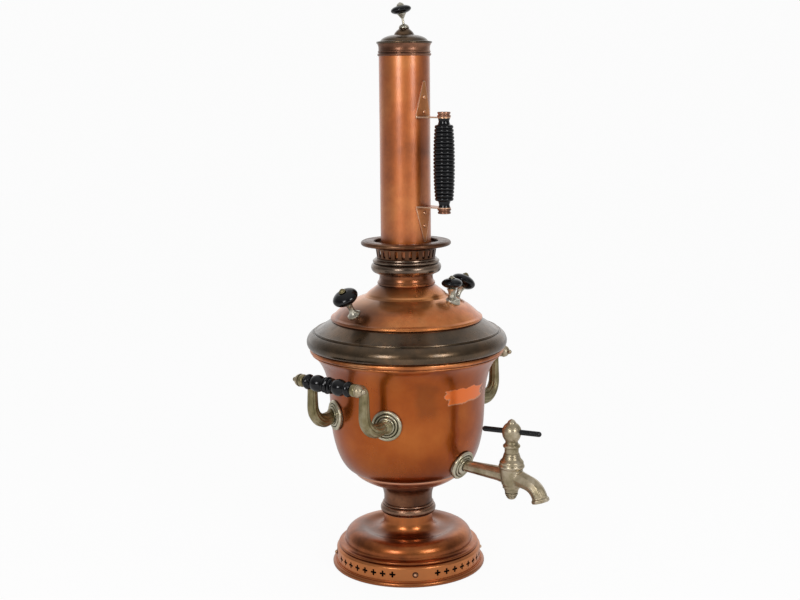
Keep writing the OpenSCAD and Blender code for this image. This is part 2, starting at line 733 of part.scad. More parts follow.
// ---- Lid ----
lid_outline = distinct(concat(
    [[mouth_r - loose_gap - 0.5, z_seat - 7.4], [mouth_r - loose_gap - 0.5, z_seat]],
    [[lid_r - 1.4, z_seat]],
    bead(lid_r - 2, z_seat, z_seat + 5.4, 2, 8),
    curve([lid_r - 4.4, z_seat + 6.8], [lid_r - 12.4, z_seat + 15.8], [lid_r - 28, z_seat + 28.5],
          [neck_r + 22.2, z_neck - 16.2], 14),
    [[neck_r + 19.2, z_neck - 14]],
    curve([neck_r + 17.2, z_neck - 11.6], [neck_r + 12.2, z_neck - 7.4], [neck_r + 7.2, z_neck - 4],
          [neck_r + 2.8, z_neck - 0.4], 6),
    bead(neck_r + 1.8, z_neck + 0.4, z_neck + 4.8, 1.4, 8),
    curve([neck_r + 1.6, z_neck + 5.4], [neck_r + 0.6, z_neck + 7], [neck_r, z_neck + 9],
          [neck_r, z_neck + 12], 5),
    [[neck_r, z_crown - 1]]
));
knob_turns = [169, -11];
vent_turn = -74.5;
pin_r = 2.5;
vent_pin_r = 3;
// Height of the lid's outer face at a distance from the middle
function lid_z(r) = lookup(r, [for (p = lid_outline) if (p[1] > z_seat + 5 && p[1] < z_neck) p]);

// The space inside the lid's outer face, grown by a gap
module lid_solid(gap) {
    grown = shifted([for (i = [2:len(lid_outline) - 1]) lid_outline[i]], -gap);
    turned(concat([[0, z_seat]], grown, [[0, z_crown - 1]]));
}

module to_knob(i) rotate([0, 0, knob_turns[i]]) translate([knob_reach, 0, lid_z(knob_reach)])
    rotate([0, knob_lean, 0]) children();
module to_vent() rotate([0, 0, vent_turn]) translate([vent_reach, 0, lid_z(vent_reach)]) children();

module lid() {
    color(copper) difference() {
        spun(lid_outline, sheet);
        for (i = [0, 1]) to_knob(i) translate([0, 0, -10]) cylinder(h = 20, r = pin_r + fixed_gap, $fn = 32);
        to_vent() translate([0, 0, -14]) cylinder(h = 30, r = 5, $fn = 32);
    }
}

module neck_ring() {
    bore = neck_r + fixed_gap;
    out = bore + neck_ring_out;
    z0 = z_neck_ring;
    color(bronze) turned(concat(
        [[bore, z0], [bore + 2.4, z0]],
        bead(bore + 2.4, z0 + 0.3, z0 + 3, 1, 6),
        curve([bore + 3.6, z0 + 3.4], [out - 3.4, z0 + 4.6], [out + 0.4, z0 + 8], [out, z0 + 12], 10),
        [[out - 1, z0 + 13.6]],
        bead(out - 2.8, z0 + 14, z0 + 17.2, 1.7, 8),
        curve([out - 3.6, z0 + 17.6], [out - 5, z0 + 18.6], [bore + 6.2, z0 + 19.6],
              [bore + 5.8, z_crown - 1.6], 5),
        [[bore + 5.4, z_crown], [bore, z_crown]]
    ));
}

// Spool-shaped stem that stands on the lid under a knob
module knob_stem(i) {
    top = knob_stand - knob_half + 1;
    color(nickel) {
        difference() {
            to_knob(i) turned(concat(
                [[0, -9], [9.6, -9], [9.6, 0]],
                curve([9.4, 1], [6, 3.4], [3.8, 5], [3.8, top * 0.52], 6),
                curve([3.8, top * 0.56], [3.8, top * 0.8], [5.6, top - 2.4], [6.8, top], 6),
                [[0, top]]
            ));
            lid_solid(fixed_gap / 2);
        }
        to_knob(i) translate([0, 0, -7]) cylinder(h = knob_stand + knob_half + 5, r = pin_r, $fn = 32);
        to_knob(i) translate([0, 0, -7]) cylinder(h = 2.4, r = 5, $fn = 32);
    }
}

// An oblate black knob with a pin hole and a flat seat at each end
module black_knob(r, half, hole) {
    flat = 0.9 * half;
    turned(concat(
        [[hole, -flat], [r * 0.42, -flat]],
        [for (i = [0:16]) let (a = -62 + 124 * i / 16) [r * cos(a), half * sin(a)]],
        [[r * 0.42, flat], [hole, flat]]
    ));
}

module knob(i) color(ebony) to_knob(i) translate([0, 0, knob_stand]) black_knob(knob_r, knob_half, pin_r + fixed_gap);

module knob_button(i) color(nickel) to_knob(i) translate([0, 0, knob_stand + 0.9 * knob_half]) difference() {
    turned(concat([[0, 0], [5.2, 0]], bead(4.2, 0, 2.4, 1, 6), arc(0, 1.2, 4, 18, 90, 6)));
    translate([0, 0, -1]) cylinder(h = 4.2, r = pin_r + 0.05, $fn = 32);
}

// Hollow spool that the steam leaves through
module vent_seat() {
    color(nickel) difference() {
        to_vent() turned(concat(
            [[0, -9], [11.4, -9], [11.4, 0.6]],
            curve([11, 1.6], [7, 3], [5, 5], [4.8, 8.6], 6),
            curve([4.8, 9.6], [4.9, 12], [6, 14.6], [7.4, 16.8], 6),
            [[0, 16.8]]
        ));
        lid_solid(fixed_gap / 2);
        to_vent() translate([0, 0, -20]) cylinder(h = 50, r = vent_pin_r + loose_gap, $fn = 32);
    }
}

vent_disc_z = 24.6;
vent_half = 7.2;
module vent_disc() color(ebony) to_vent() translate([0, 0, vent_disc_z]) black_knob(vent_r, vent_half, vent_pin_r + fixed_gap);

// Valve pin of the vent, with the button on top and a spacer on the spool
module vent_pin() color(nickel) to_vent() {
    low = vent_disc_z - 0.9 * vent_half;
    high = vent_disc_z + 0.9 * vent_half;
    translate([0, 0, -4]) cylinder(h = high + 5, r = vent_pin_r, $fn = 32);
    translate([0, 0, 16.8]) cylinder(h = low - 16.8, r = 5.6, $fn = 40);
    translate([0, 0, high]) turned(concat([[0, 0], [4.4, 0]], bead(3.6, 0, 1.8, 0.8, 6), arc(0, 0.8, 3.4, 20, 90, 6)));
}

// ---- Crown ----
gallery_r = neck_r + 5;
gallery_taper = 1.8;
crown_wall = 1.5;
crown_hole_r = neck_r + 7.8;
bead_h = 6.6;
crown_outline = distinct(concat(
    [[gallery_r - gallery_taper, z_crown], [gallery_r + 0.2, z_crown + 14]],
    curve([gallery_r + 1.4, z_crown + 14.6], [gallery_r + 3, z_crown + 16.4], [crown_r - 12, z_crown + 17.4],
          [crown_r - 6.4, z_crown_top - bead_h], 6),
    arc(crown_r - bead_h / 2, z_crown_top - bead_h / 2, bead_h / 2, -90, 120, 12),
    [[crown_r - 5.6, z_crown_top - 0.6], [crown_r - 6.4, z_crown_top], [crown_hole_r + 1, z_crown_top],
     [crown_hole_r, z_crown_top - 1], [crown_hole_r, z_crown_top - 5]],
    [[gallery_r - crown_wall, z_crown + 14], [gallery_r - gallery_taper - crown_wall, z_crown + 1.2]],
    [[neck_r - 0.2, z_crown + 1.2], [neck_r - 0.2, z_crown]]
));
module crown() {
    slot_z0 = z_crown + 1.8;
    slot_h = 11.2;
    color(copper) difference() {
        turned(crown_outline);
        for (i = [0:crown_slots - 1]) rotate([0, 0, 360 / crown_slots * (i + 0.5)]) {
            translate([gallery_r - 4, -crown_slot_w / 2, slot_z0 + crown_slot_w / 2])
                cube([8, crown_slot_w, slot_h - crown_slot_w]);
            for (z = [slot_z0 + crown_slot_w / 2, slot_z0 + slot_h - crown_slot_w / 2])
                translate([0, 0, z]) rod_x(gallery_r - 4, gallery_r + 4, crown_slot_w / 2);
        }
    }
}

// ---- Draught pipe and grip ----
mouth_spigot_r = pipe_r - 1.1;
strap_t = 1.6;
strap_end_half = 8;
ferrule_h = 7;
plate_half = 14;
plate_rise = 50;
z_strap_low = z_grip - strap_t;
z_strap_high = z_grip + grip_l;
bracket_hole_r = 1.5;
rivet_levels = [z_strap_high + 8, z_strap_high + 28, z_strap_low - 8, z_strap_low - 26];

module at_grip() rotate([0, 0, tap_side - grip_turn]) children();

module pipe() {
    color(copper) difference() {
        turned([
            [pipe_r, z_pipe], [pipe_r, z_cap], [mouth_spigot_r, z_cap], [mouth_spigot_r, z_pipe_top],
            [mouth_spigot_r - sheet, z_pipe_top], [mouth_spigot_r - sheet, z_cap - 1],
            [pipe_r - sheet, z_cap - 2.4], [pipe_r - sheet, z_pipe]
        ]);
        at_grip() for (z = rivet_levels) translate([0, 0, z]) rod_x(pipe_r - 5, pipe_r + 5, bracket_hole_r + fixed_gap);
    }
}

// A pointed plate bent round the pipe, with a strap that runs out to the grip
module bracket(z0, way) {
    inner = pipe_r + fixed_gap;
    color(copper) at_grip() difference() {
        union() {
            intersection() {
                translate([0, 0, z0 - plate_rise - 5]) difference() {
                    cylinder(h = 2 * plate_rise + 10, r = inner + 1.4);
                    translate([0, 0, -1]) cylinder(h = 2 * plate_rise + 12, r = inner);
                }
                translate([0, 0, z0]) rotate([90, 0, 90]) linear_extrude(height = inner + 5)
                    polygon([[-plate_half, 0], [plate_half, 0], [plate_half, way * 5],
                        [2, way * plate_rise], [-2, way * plate_rise], [-plate_half, way * 5]]);
            }
            difference() {
                union() {
                    translate([0, 0, min(z0, z0 + way * strap_t)]) linear_extrude(height = strap_t)
                        polygon([[inner - 8, -plate_half], [inner - 4, -plate_half], [grip_reach, -strap_end_half],
                            [grip_reach, strap_end_half], [inner - 4, plate_half], [inner - 8, plate_half]]);
                    translate([grip_reach, 0, min(z0, z0 + way * strap_t)]) cylinder(h = strap_t, r = 9, $fn = 40);
                }
                translate([0, 0, z0 - 10]) cylinder(h = 20, r = inner);
            }
        }
        translate([grip_reach, 0, z0 - 10]) cylinder(h = 20, r = rod_r + fixed_gap, $fn = 32);
        for (z = rivet_levels) translate([0, 0, z]) rod_x(pipe_r - 5, pipe_r + 8, bracket_hole_r + fixed_gap);
    }
}

module bracket_rivets() {
    face = pipe_r + fixed_gap + 1.4;
    tail = pipe_r - sheet - 0.2;
    color(copper) at_grip() for (z = rivet_levels) translate([0, 0, z]) {
        rod_x(tail - 1, face + 1, bracket_hole_r);
        rod_x(tail - 1, tail, bracket_hole_r + 0.9);
        translate([face + 0.1, 0, 0]) rotate([0, 90, 0])
            turned(concat([[0, 0], [2.7, 0]], arc(0, 0, 2.7, 0, 90, 7) * [[1, 0], [0, 0.7]]));
    }
}

rod_r = 2.5;
// Radius of the grip at a height over its lower end: a slim neck, then ringed barrel
grip_neck = 9;
function grip_barrel(u) = grip_r - 2.2 * pow(abs(2 * u - 1), 2.5);
module grip() {
    pitch = (grip_l - 2 * grip_neck) / grip_rings;
    steps = 5;
    bore = rod_r + fixed_gap;
    color(ebony) at_grip() translate([grip_reach, 0, z_grip]) turned(concat(
        [[bore, 0], [8.2, 0], [7.4, grip_neck * 0.4], [8.6, grip_neck - 1]],
        [for (i = [0:grip_rings - 1], k = [0:steps])
            let (a = 180 * k / steps, z = grip_neck + pitch * (i + (1 - cos(a)) / 2))
            [grip_barrel((z - grip_neck) / (grip_l - 2 * grip_neck)) - 1.5 + 1.5 * sin(a), z]],
        [[8.6, grip_l - grip_neck + 1], [7.4, grip_l - grip_neck * 0.4], [8.2, grip_l], [bore, grip_l]]
    ));
}

module grip_rod() color(iron) at_grip() translate([grip_reach, 0, z_strap_low - 4])
    cylinder(h = z_strap_high - z_strap_low + strap_t + 8, r = rod_r, $fn = 32);

// A spun cup screwed on the rod's end, outside the strap
module ferrule(z, way) color(copper) at_grip() translate([grip_reach, 0, z]) mirror([0, 0, way < 0 ? 1 : 0])
    turned(concat(
        [[rod_r + 0.05, 0], [7.6, 0]], bead(8.3, 0, 2.6, 1.2, 6),
        [[8, 3.2], [8, 4]], bead(8.2, 4.2, ferrule_h, 0.8, 6),
        [[6, ferrule_h], [5.4, ferrule_h - 1], [0, ferrule_h - 1], [0, 4.4], [rod_r + 0.05, 4.4]]
    ));

// ---- Cap ----
module cap_skirt() {
    bore = mouth_spigot_r + loose_gap;
    color(copper) turned(concat(
        [[bore, z_cap], [pipe_r, z_cap]],
        bead(pipe_r, z_cap, z_cap + 4, 1.2, 8),
        curve([pipe_r, z_cap + 4.6], [pipe_r - 0.1, z_cap + 9], [pipe_r + 1, z_cap_top - 4],
              [cap_r - 1.6, z_cap_top - 1.4], 8),
        [[cap_r - 1.6, z_cap_top], [20, z_cap_top], [20, z_cap_top - 1.5], [bore, z_cap_top - 1.5]]
    ));
}

module cap_dome() {
    flange_h = 2.8;
    z1 = z_cap_top + flange_h;
    z2 = z_cap_top + cap_dome_h - 9.4;
    color(bronze) difference() {
        turned(concat(
            [[0, z_cap_top]],
            bead(cap_r - 1.1, z_cap_top, z1, 1.1, 8),
            [[cap_r - 5, z1 + 0.5], [cap_r - 5.6, z1 + 1]],
            curve([cap_r - 6, z1 + 1.4], [cap_r - 8.4, z1 + 5.4], [22, z2 - 0.6], [15, z2], 8),
            [[14, z2 + 0.4]],
            curve([13.8, z2 + 1], [12.4, z2 + 4.2], [9.6, z2 + 6.4], [7.2, z_spindle - 1.2], 6),
            [[6.9, z_spindle], [0, z_spindle]]
        ));
        translate([0, 0, z_cap_top - 1]) cylinder(h = cap_dome_h + 2, r = 1.7, $fn = 24);
    }
}

spindle_h = 16;
cap_knob_half = 6;
// The bent end of the spindle leans away from the tap's side
module leaning() translate([0, 0, z_spindle + 2]) rotate([0, 0, lean_side]) rotate([0, spindle_lean, 0])
    rotate([0, 0, -lean_side]) translate([0, 0, -z_spindle - 2]) children();

module cap_spindle() color(nickel) {
    z_cup = z_spindle + spindle_h;
    translate([0, 0, z_cap_top + 2]) cylinder(h = cap_dome_h + 2, r = 1.6, $fn = 24);
    translate([0, 0, z_spindle]) turned(concat([[0, 0], [7.2, 0]], arc(0, 0, 7.2, 0, 90, 8) * [[1, 0], [0, 0.76]]));
    leaning() {
        translate([0, 0, z_spindle + 2]) cylinder(h = spindle_h + 2 * cap_knob_half + 1.6, r = 1.6, $fn = 24);
        turned(concat([[0, z_cup - 3], [2.2, z_cup - 2.6]],
            curve([2.8, z_cup - 2], [3.8, z_cup + 0.4], [5.2, z_cup + 1.6], [6.2, z_cup + 3.6], 6),
            [[0, z_cup + 3.6]]));
    }
}

z_cap_knob = z_spindle + spindle_h + 3.6 + 0.9 * cap_knob_half;
module cap_knob() color(ebony) leaning() translate([0, 0, z_cap_knob])
    black_knob(cap_knob_r, cap_knob_half, 1.7);

module cap_nut() color(nickel) leaning() translate([0, 0, z_cap_knob + 0.9 * cap_knob_half]) difference() {
    turned(concat([[0, 0], [5.4, 0]], curve([5.2, 0.6], [4.4, 3], [2.6, 3.6], [0.6, 4.6], 6), [[0, 4.7]]));
    translate([0, 0, -1]) cylinder(h = 3.4, r = 1.65, $fn = 24);
}

foot();
foot_plate();
foot_rivets();
stem_ring();
stem_collar();
bowl();
rim_band();
shoulder_ring();
fire_cone();
fire_tube();
fire_grate();
rosette(left_side, 1);  // rosette_left_front
rosette(left_side, -1);  // rosette_left_rear
rosette(right_side, -1);  // rosette_right_front
rosette(right_side, 1);  // rosette_right_rear
arm(left_side, 1);  // arm_left_front
arm(left_side, -1);  // arm_left_rear
arm(right_side, -1);  // arm_right_front
arm(right_side, 1);  // arm_right_rear
bar(left_side);  // bar_left
bar(right_side);  // bar_right
bar_bolt(left_side);  // bar_bolt_left
bar_bolt(right_side);  // bar_bolt_right
bar_nut(left_side);  // bar_nut_left
bar_nut(right_side);  // bar_nut_right
arm_nuts();
tap_rosette();
tap_body();
tap_nut();
tap_plug();
tap_key_bar();
tap_finial();
tap_washer();
tap_end_nut();
lid();
neck_ring();
knob_stem(0);  // knob_stem_left
knob_stem(1);  // knob_stem_right
knob(0);  // knob_left
knob(1);  // knob_right
knob_button(0);  // knob_button_left
knob_button(1);  // knob_button_right
vent_seat();
vent_disc();
vent_pin();
crown();
pipe();
bracket(z_strap_high, 1);  // bracket_upper
bracket(z_grip, -1);  // bracket_lower
bracket_rivets();
grip();
grip_rod();
ferrule(z_strap_high + strap_t, 1);  // ferrule_upper
ferrule(z_strap_low, -1);  // ferrule_lower
cap_skirt();
cap_dome();
cap_spindle();
cap_knob();
cap_nut();
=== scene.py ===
"""A charcoal samovar in copper, bronze, nickel and black wood, put together piece by piece."""
import math

import bpy
from mathutils import Matrix, Vector


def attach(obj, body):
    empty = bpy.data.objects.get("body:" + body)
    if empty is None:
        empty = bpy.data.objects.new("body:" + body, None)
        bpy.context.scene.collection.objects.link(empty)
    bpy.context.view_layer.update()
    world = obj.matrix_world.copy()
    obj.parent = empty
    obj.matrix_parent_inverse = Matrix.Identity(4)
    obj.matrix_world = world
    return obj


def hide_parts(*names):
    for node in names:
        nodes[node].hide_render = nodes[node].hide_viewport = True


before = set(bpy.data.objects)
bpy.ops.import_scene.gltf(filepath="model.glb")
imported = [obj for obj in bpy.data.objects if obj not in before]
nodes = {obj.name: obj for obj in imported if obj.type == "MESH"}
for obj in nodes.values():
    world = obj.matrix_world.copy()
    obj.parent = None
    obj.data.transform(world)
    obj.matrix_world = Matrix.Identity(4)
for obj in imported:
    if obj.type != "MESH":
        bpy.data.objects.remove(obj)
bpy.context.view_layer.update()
MM = 0.001

# -----------------------------
# Foot: one sheet of copper spun over a former, with a rolled rim, a band
# pierced by four-lobed crosses, a convex roll and a dish that rises to a neck.
# It has browned evenly under old lacquer, and painted shade darkens its creases.


def tone(red, green, blue):
    """A colour as it is seen, 0 to 255, in the even steps that shaders add up in."""
    shares = (c / 255 for c in (red, green, blue))
    return tuple(((c + 0.055) / 1.055) ** 2.4 if c > 0.04 else c / 12.92 for c in shares)


def new_finish(name):
    """An empty material with its nodes, its links and its shader."""
    finish = bpy.data.materials.new(name)
    finish.use_nodes = True
    tree = finish.node_tree
    return finish, tree.nodes, tree.links, tree.nodes["Principled BSDF"]


def fill(node, values):
    """Put plain values on a node's sockets, by their names."""
    for name, value in values.items():
        node.inputs[name].default_value = value


def noise(n, links, scale, detail, stretch=(1, 1, 1), rough=0.55):
    """Noise over the piece's own coordinates, in features per metre."""
    place = n.new("ShaderNodeTexCoord")
    mapping = n.new("ShaderNodeMapping")
    fill(mapping, {"Scale": stretch})
    texture = n.new("ShaderNodeTexNoise")
    fill(texture, {"Scale": scale, "Detail": detail, "Roughness": rough})
    links.new(place.outputs["Object"], mapping.inputs["Vector"])
    links.new(mapping.outputs["Vector"], texture.inputs["Vector"])
    return texture.outputs["Fac"]


def ramp(n, links, source, stops):
    """Colours over a value; each stop is a place and a colour or a grey."""
    node = n.new("ShaderNodeValToRGB")
    links.new(source, node.inputs["Fac"])
    elements = node.color_ramp.elements
    while len(elements) < len(stops):
        elements.new(0.5)
    for element, (place, colour) in zip(elements, stops):
        element.position = place
        if not isinstance(colour, tuple):
            colour = (colour,) * 3
        element.color = (*colour, 1)
    return node.outputs["Color"]


def blend(n, links, factor, first, second, way="MIX"):
    """Mix two colours; a colour may be a socket or a plain tuple."""
    node = n.new("ShaderNodeMix")
    node.data_type = "RGBA"
    node.blend_type = way
    for value, place in ((factor, 0), (first, 6), (second, 7)):
        if isinstance(value, bpy.types.NodeSocket):
            links.new(value, node.inputs[place])
        elif place:
            node.inputs[place].default_value = (*value, 1)
        else:
            node.inputs[place].default_value = value
    return node.outputs[2]


def crease(n, links, reach):
    """A value that is dark in creases and corners and white in the open."""
    node = n.new("ShaderNodeAmbientOcclusion")
    node.samples = 6
    fill(node, {"Distance": reach * MM})
    return node.outputs["AO"]


def bump(n, links, height, distance, after=None):
    """Small relief from a value, as deep as a distance in millimetres, on top of other relief."""
    node = n.new("ShaderNodeBump")
    fill(node, {"Distance": distance * MM})
    links.new(height, node.inputs["Height"])
    if after is not None:
        links.new(after, node.inputs["Normal"])
    return node.outputs["Normal"]


def dulled(n, links, shader, scale, rough, detail=6, grain=0.55):
    """Let a shader's roughness wander between two values."""
    gloss = ramp(n, links, noise(n, links, scale, detail, rough=grain), [(0.35, rough[0]), (0.7, rough[1])])
    links.new(gloss, shader.inputs["Roughness"])


def copper_finish(name, dark, mid, light, rough=(0.30, 0.46), dents=0.4, patch=16.0, crease_shade_depth=0.6,
                  coat=0.3, coat_rough=0.2, stains=0.35, metal=1.0):
    """Lacquered copper, browned in clouds, with spun lines, soft dents, stains and painted shade in its
    creases.
    """
    finish, n, links, shader = new_finish(name)
    dark, mid, light = tone(*dark), tone(*mid), tone(*light)
    colour = ramp(n, links, noise(n, links, patch, 5), [(0.36, dark), (0.5, mid), (0.66, light)])
    mottle = noise(n, links, patch * 9, 6, rough=0.65)
    colour = blend(n, links, ramp(n, links, mottle, [(0.42, 0.0), (0.75, stains)]), colour, dark)
    runs = noise(n, links, 40, 4, stretch=(1, 1, 0.12))
    colour = blend(n, links, ramp(n, links, runs, [(0.5, 0.0), (0.75, stains * 0.8)]), colour, dark)
    specks = noise(n, links, 420, 3)
    colour = blend(n, links, ramp(n, links, specks, [(0.68, 0.0), (0.76, 0.6)]), colour, dark)
    # Painted shade: the colour is darkened where nearby surfaces hem a point in.
    crease_shade = ramp(n, links, crease(n, links, 6), [(0.3, 1 - crease_shade_depth), (0.85, 1.0)])
    links.new(blend(n, links, 1.0, colour, crease_shade, "MULTIPLY"), shader.inputs["Base Color"])
    dulled(n, links, shader, patch * 3, rough, grain=0.6)
    spun = noise(n, links, 9, 2, stretch=(1, 1, 90))
    normal = bump(n, links, noise(n, links, 22, 2), dents)
    links.new(bump(n, links, spun, 0.006, after=normal), shader.inputs["Normal"])
    fill(shader, {"Metallic": metal, "Coat Weight": coat, "Coat Roughness": coat_rough})
    return finish


def dress(finish, *names):
    """Give CAD pieces their finish."""
    for name in names:
        nodes[name].data.materials.clear()
        nodes[name].data.materials.append(finish)


def near(r, z, *steps):
    """Points given as steps out and up from a corner."""
    return [(r + out, z + up) for out, up in steps]


def arc(cx, cz, r, start, end, count):
    """Points on an arc in millimetres, angles in degrees."""
    return [(cx + r * math.cos(math.radians(start + (end - start) * i / count)),
             cz + r * math.sin(math.radians(start + (end - start) * i / count))) for i in range(count + 1)]


def curve(a, b, c, d, count):
    """Points on a smooth curve from a to d that leaves towards b and arrives from c."""
    points = []
    for i in range(count + 1):
        t = i / count
        u = 1 - t
        weights = (u ** 3, 3 * u * u * t, 3 * u * t * t, t ** 3)
        points.append(tuple(sum(w * p[k] for w, p in zip(weights, (a, b, c, d))) for k in (0, 1)))
    return points


def clear_selection():
    """Leave edit mode with nothing selected."""
    if bpy.context.mode != "OBJECT":
        bpy.ops.object.mode_set(mode="OBJECT")
    bpy.ops.object.select_all(action="DESELECT")


def pick(piece):
    """Select one piece and make it the one that tools work on."""
    clear_selection()
    piece.select_set(True)
    bpy.context.view_layer.objects.active = piece
    return piece


def edit_all():
    """Edit the picked piece with all of it selected."""
    bpy.ops.object.mode_set(mode="EDIT")
    bpy.ops.mesh.select_all(action="SELECT")


def settle(piece):
    """Put a finished piece's place into its mesh, leaving its object at the origin."""
    pick(piece)
    bpy.ops.object.transform_apply(location=True, rotation=True, scale=True)
    return piece


def shape(piece, kind, **settings):
    """Add a modifier to a piece, set it and apply it."""
    pick(piece)
    tool = piece.modifiers.new(kind.lower(), kind)
    for name, value in settings.items():
        setattr(tool, name, value)
    bpy.ops.object.modifier_apply(modifier=tool.name)
    return piece


def smooth(piece, angle):
    """Shade a piece smooth, but for edges sharper than an angle in degrees."""
    pick(piece)
    bpy.ops.object.shade_smooth_by_angle(angle=math.radians(angle))
    return piece


def tidy_skin(piece):
    """Merge doubled points and turn all faces outwards."""
    pick(piece)
    edit_all()
    bpy.ops.mesh.remove_doubles(threshold=0.01 * MM)
    bpy.ops.mesh.normals_make_consistent(inside=False)
    bpy.ops.object.mode_set(mode="OBJECT")
    return piece


def turn(name, outline, steps=96):
    """Turn a half section, given in millimetres from the axis, into a round piece."""
    clear_selection()
    bpy.ops.mesh.primitive_plane_add(size=MM, location=(outline[0][0] * MM, 0, outline[0][1] * MM))
    piece = bpy.context.object
    piece.name = piece.data.name = name
    edit_all()
    bpy.ops.mesh.merge(type="CENTER")
    for (r0, z0), (r1, z1) in zip(outline, outline[1:]):
        if abs(r1 - r0) + abs(z1 - z0) > 0.01:
            bpy.ops.mesh.extrude_vertices_move(
                TRANSFORM_OT_translate={"value": ((r1 - r0) * MM, 0, (z1 - z0) * MM)})
    bpy.ops.mesh.select_all(action="SELECT")
    bpy.ops.mesh.spin(steps=steps, angle=math.tau, center=(0, 0, 0), axis=(0, 0, 1))
    bpy.ops.object.mode_set(mode="OBJECT")
    return tidy_skin(settle(piece))


def finished(piece, finish, body, slot, *replaced):
    """Give a new piece its finish and the body it rides on, and hide the CAD nodes that it stands for."""
    piece.data.materials.clear()
    piece.data.materials.append(finish)
    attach(piece, body)
    if replaced:
        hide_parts(*replaced)
    return piece


def math_of(n, links, way, first, second=0.0):
    """One step of arithmetic; a value may be a socket or a number."""
    node = n.new("ShaderNodeMath")
    node.operation = way
    for value, place in ((first, 0), (second, 1)):
        if isinstance(value, bpy.types.NodeSocket):
            links.new(value, node.inputs[place])
        else:
            node.inputs[place].default_value = value
    return node.outputs[0]


def place_value(n, links, kind):
    """A point's height, its reach from the upright axis, or its turn round that axis in radians from +X."""
    place = n.new("ShaderNodeTexCoord")
    split = n.new("ShaderNodeSeparateXYZ")
    links.new(place.outputs["Object"], split.inputs[0])
    if kind == "height":
        return split.outputs["Z"]
    if kind == "reach":
        squares = [math_of(n, links, "POWER", split.outputs[axis], 2.0) for axis in ("X", "Y")]
        return math_of(n, links, "SQRT", math_of(n, links, "ADD", *squares))
    return math_of(n, links, "ARCTAN2", split.outputs["Y"], split.outputs["X"])


def window(n, links, source, low, high, edge):
    """One between two limits and nothing outside them, with soft edges."""
    off = math_of(n, links, "ABSOLUTE", math_of(n, links, "SUBTRACT", source, (low + high) / 2))
    node = n.new("ShaderNodeMapRange")
    links.new(off, node.inputs["Value"])
    half = (high - low) / 2
    node.inputs["From Min"].default_value = half + edge
    node.inputs["From Max"].default_value = half - edge
    return node.outputs["Result"]


def reopen(finish):
    """A finish's nodes, its links and the socket of its colour."""
    n = finish.node_tree.nodes
    return n, finish.node_tree.links, n["Principled BSDF"].inputs["Base Color"]


def tint(finish, where, strength, colour):
    """Lay a colour over a finish where a value is one, at a strength from 0 to 1."""
    n, links, base = reopen(finish)
    share = math_of(n, links, "MULTIPLY", where, strength)
    links.new(blend(n, links, share, base.links[0].from_socket, tone(*colour)), base)


def tint_zone(finish, kind, zone, strength, colour):
    """Tint a finish in a zone of height or reach, given in millimetres as low, high and soft edge."""
    n, links, _ = reopen(finish)
    where = window(n, links, place_value(n, links, kind), *(limit * MM for limit in zone))
    tint(finish, where, strength, colour)


def join(name, *pieces):
    """Make one piece of several."""
    clear_selection()
    for piece in pieces:
        piece.select_set(True)
    bpy.context.view_layer.objects.active = pieces[0]
    bpy.ops.object.join()
    pieces[0].name = pieces[0].data.name = name
    return pieces[0]


def swivel(piece, around):
    """Turn a piece round the upright axis, by an angle in radians."""
    piece.rotation_euler = (0, 0, around)
    return settle(piece)


def copied(piece, name, around, mirrored=False):
    """A copy with its own mesh, turned round +Z, or mirrored front to back and then turned."""
    pick(piece)
    bpy.ops.object.duplicate()
    twin = bpy.context.object
    twin.name = twin.data.name = name
    twin.scale = (1, -1 if mirrored else 1, 1)
    swivel(settle(twin), around)
    return tidy_skin(twin) if mirrored else twin


def cut(piece, tool):
    """Cut a piece with another, which is then taken away."""
    shape(piece, "BOOLEAN", object=tool, operation="DIFFERENCE", solver="EXACT")
    bpy.data.objects.remove(tool)
    return piece


BAND_R, BAND_TOP, RIVET_LEVEL = 104.6, 25.0, 17.0
FOOT_BEAD, ROLL_TOP, CREASE, STEM_R, FOOT_TOP = 31.0, 55.0, 52.5, 34.8, 76.0
RIM_R, RIM_LEVEL, SPIGOT_R, SPIGOT_TOP = 3.5, 3.2, 33.45, 96.0
FOOT_SHEET = 1.2

foot_outline = (
    [(BAND_R, 0.0)] + arc(BAND_R + 2.4, RIM_LEVEL, RIM_R, -66, 124, 14)
    + [(BAND_R, RIM_LEVEL + 3.4), (BAND_R, BAND_TOP)]
    + curve(*near(BAND_R, BAND_TOP, (-0.2, 0.8), (-1, 2.4), (-3, 3.2), (-4.6, 3.8)), 4)
    + arc(BAND_R - 5.2, FOOT_BEAD, 2.2, -60, 80, 8)
    + curve(*near(BAND_R, FOOT_BEAD, (-6.6, 2.2), (-9.6, 2.3), (-11.6, 2.8), (-12.3, 4.6)), 5)
    + curve(*near(BAND_R, ROLL_TOP, (-12.3, -19.4), (-12, -12.5), (-14.6, -5.5), (-21.6, -2)), 12)
    + curve(*near(BAND_R, ROLL_TOP, (-21.6, -2), (-25, -0.3), (-29.6, 0), (-34.6, 0)), 8)
    + curve(*near(BAND_R, ROLL_TOP, (-34.6, 0), (-41, 0), (-45, -3.7), (-52, -3.7)), 10)
    + curve(*near(BAND_R, CREASE, (-52, -1.2), (-61, -1.2)), *near(STEM_R, CREASE, (1.2, 2), (0.2, 13)), 14)
    + [(STEM_R, FOOT_TOP), (SPIGOT_R, FOOT_TOP), (SPIGOT_R, SPIGOT_TOP)])
foot_sheet = turn("foot_sheet", foot_outline, 160)
shape(foot_sheet, "SOLIDIFY", thickness=FOOT_SHEET * MM, offset=-1)

# A cross is a ring of points that is drawn in deep between its four lobes.
CROSS_R, CROSS_STEP, CROSSES = 4.5, 7.8, 8
CROSS_START, CROSS_DEPTH = BAND_R - 5, 10.0
LOBE_POINTS, LOBE_DRAW = 8, (0.98, 0.84, 0.55, 0.4)

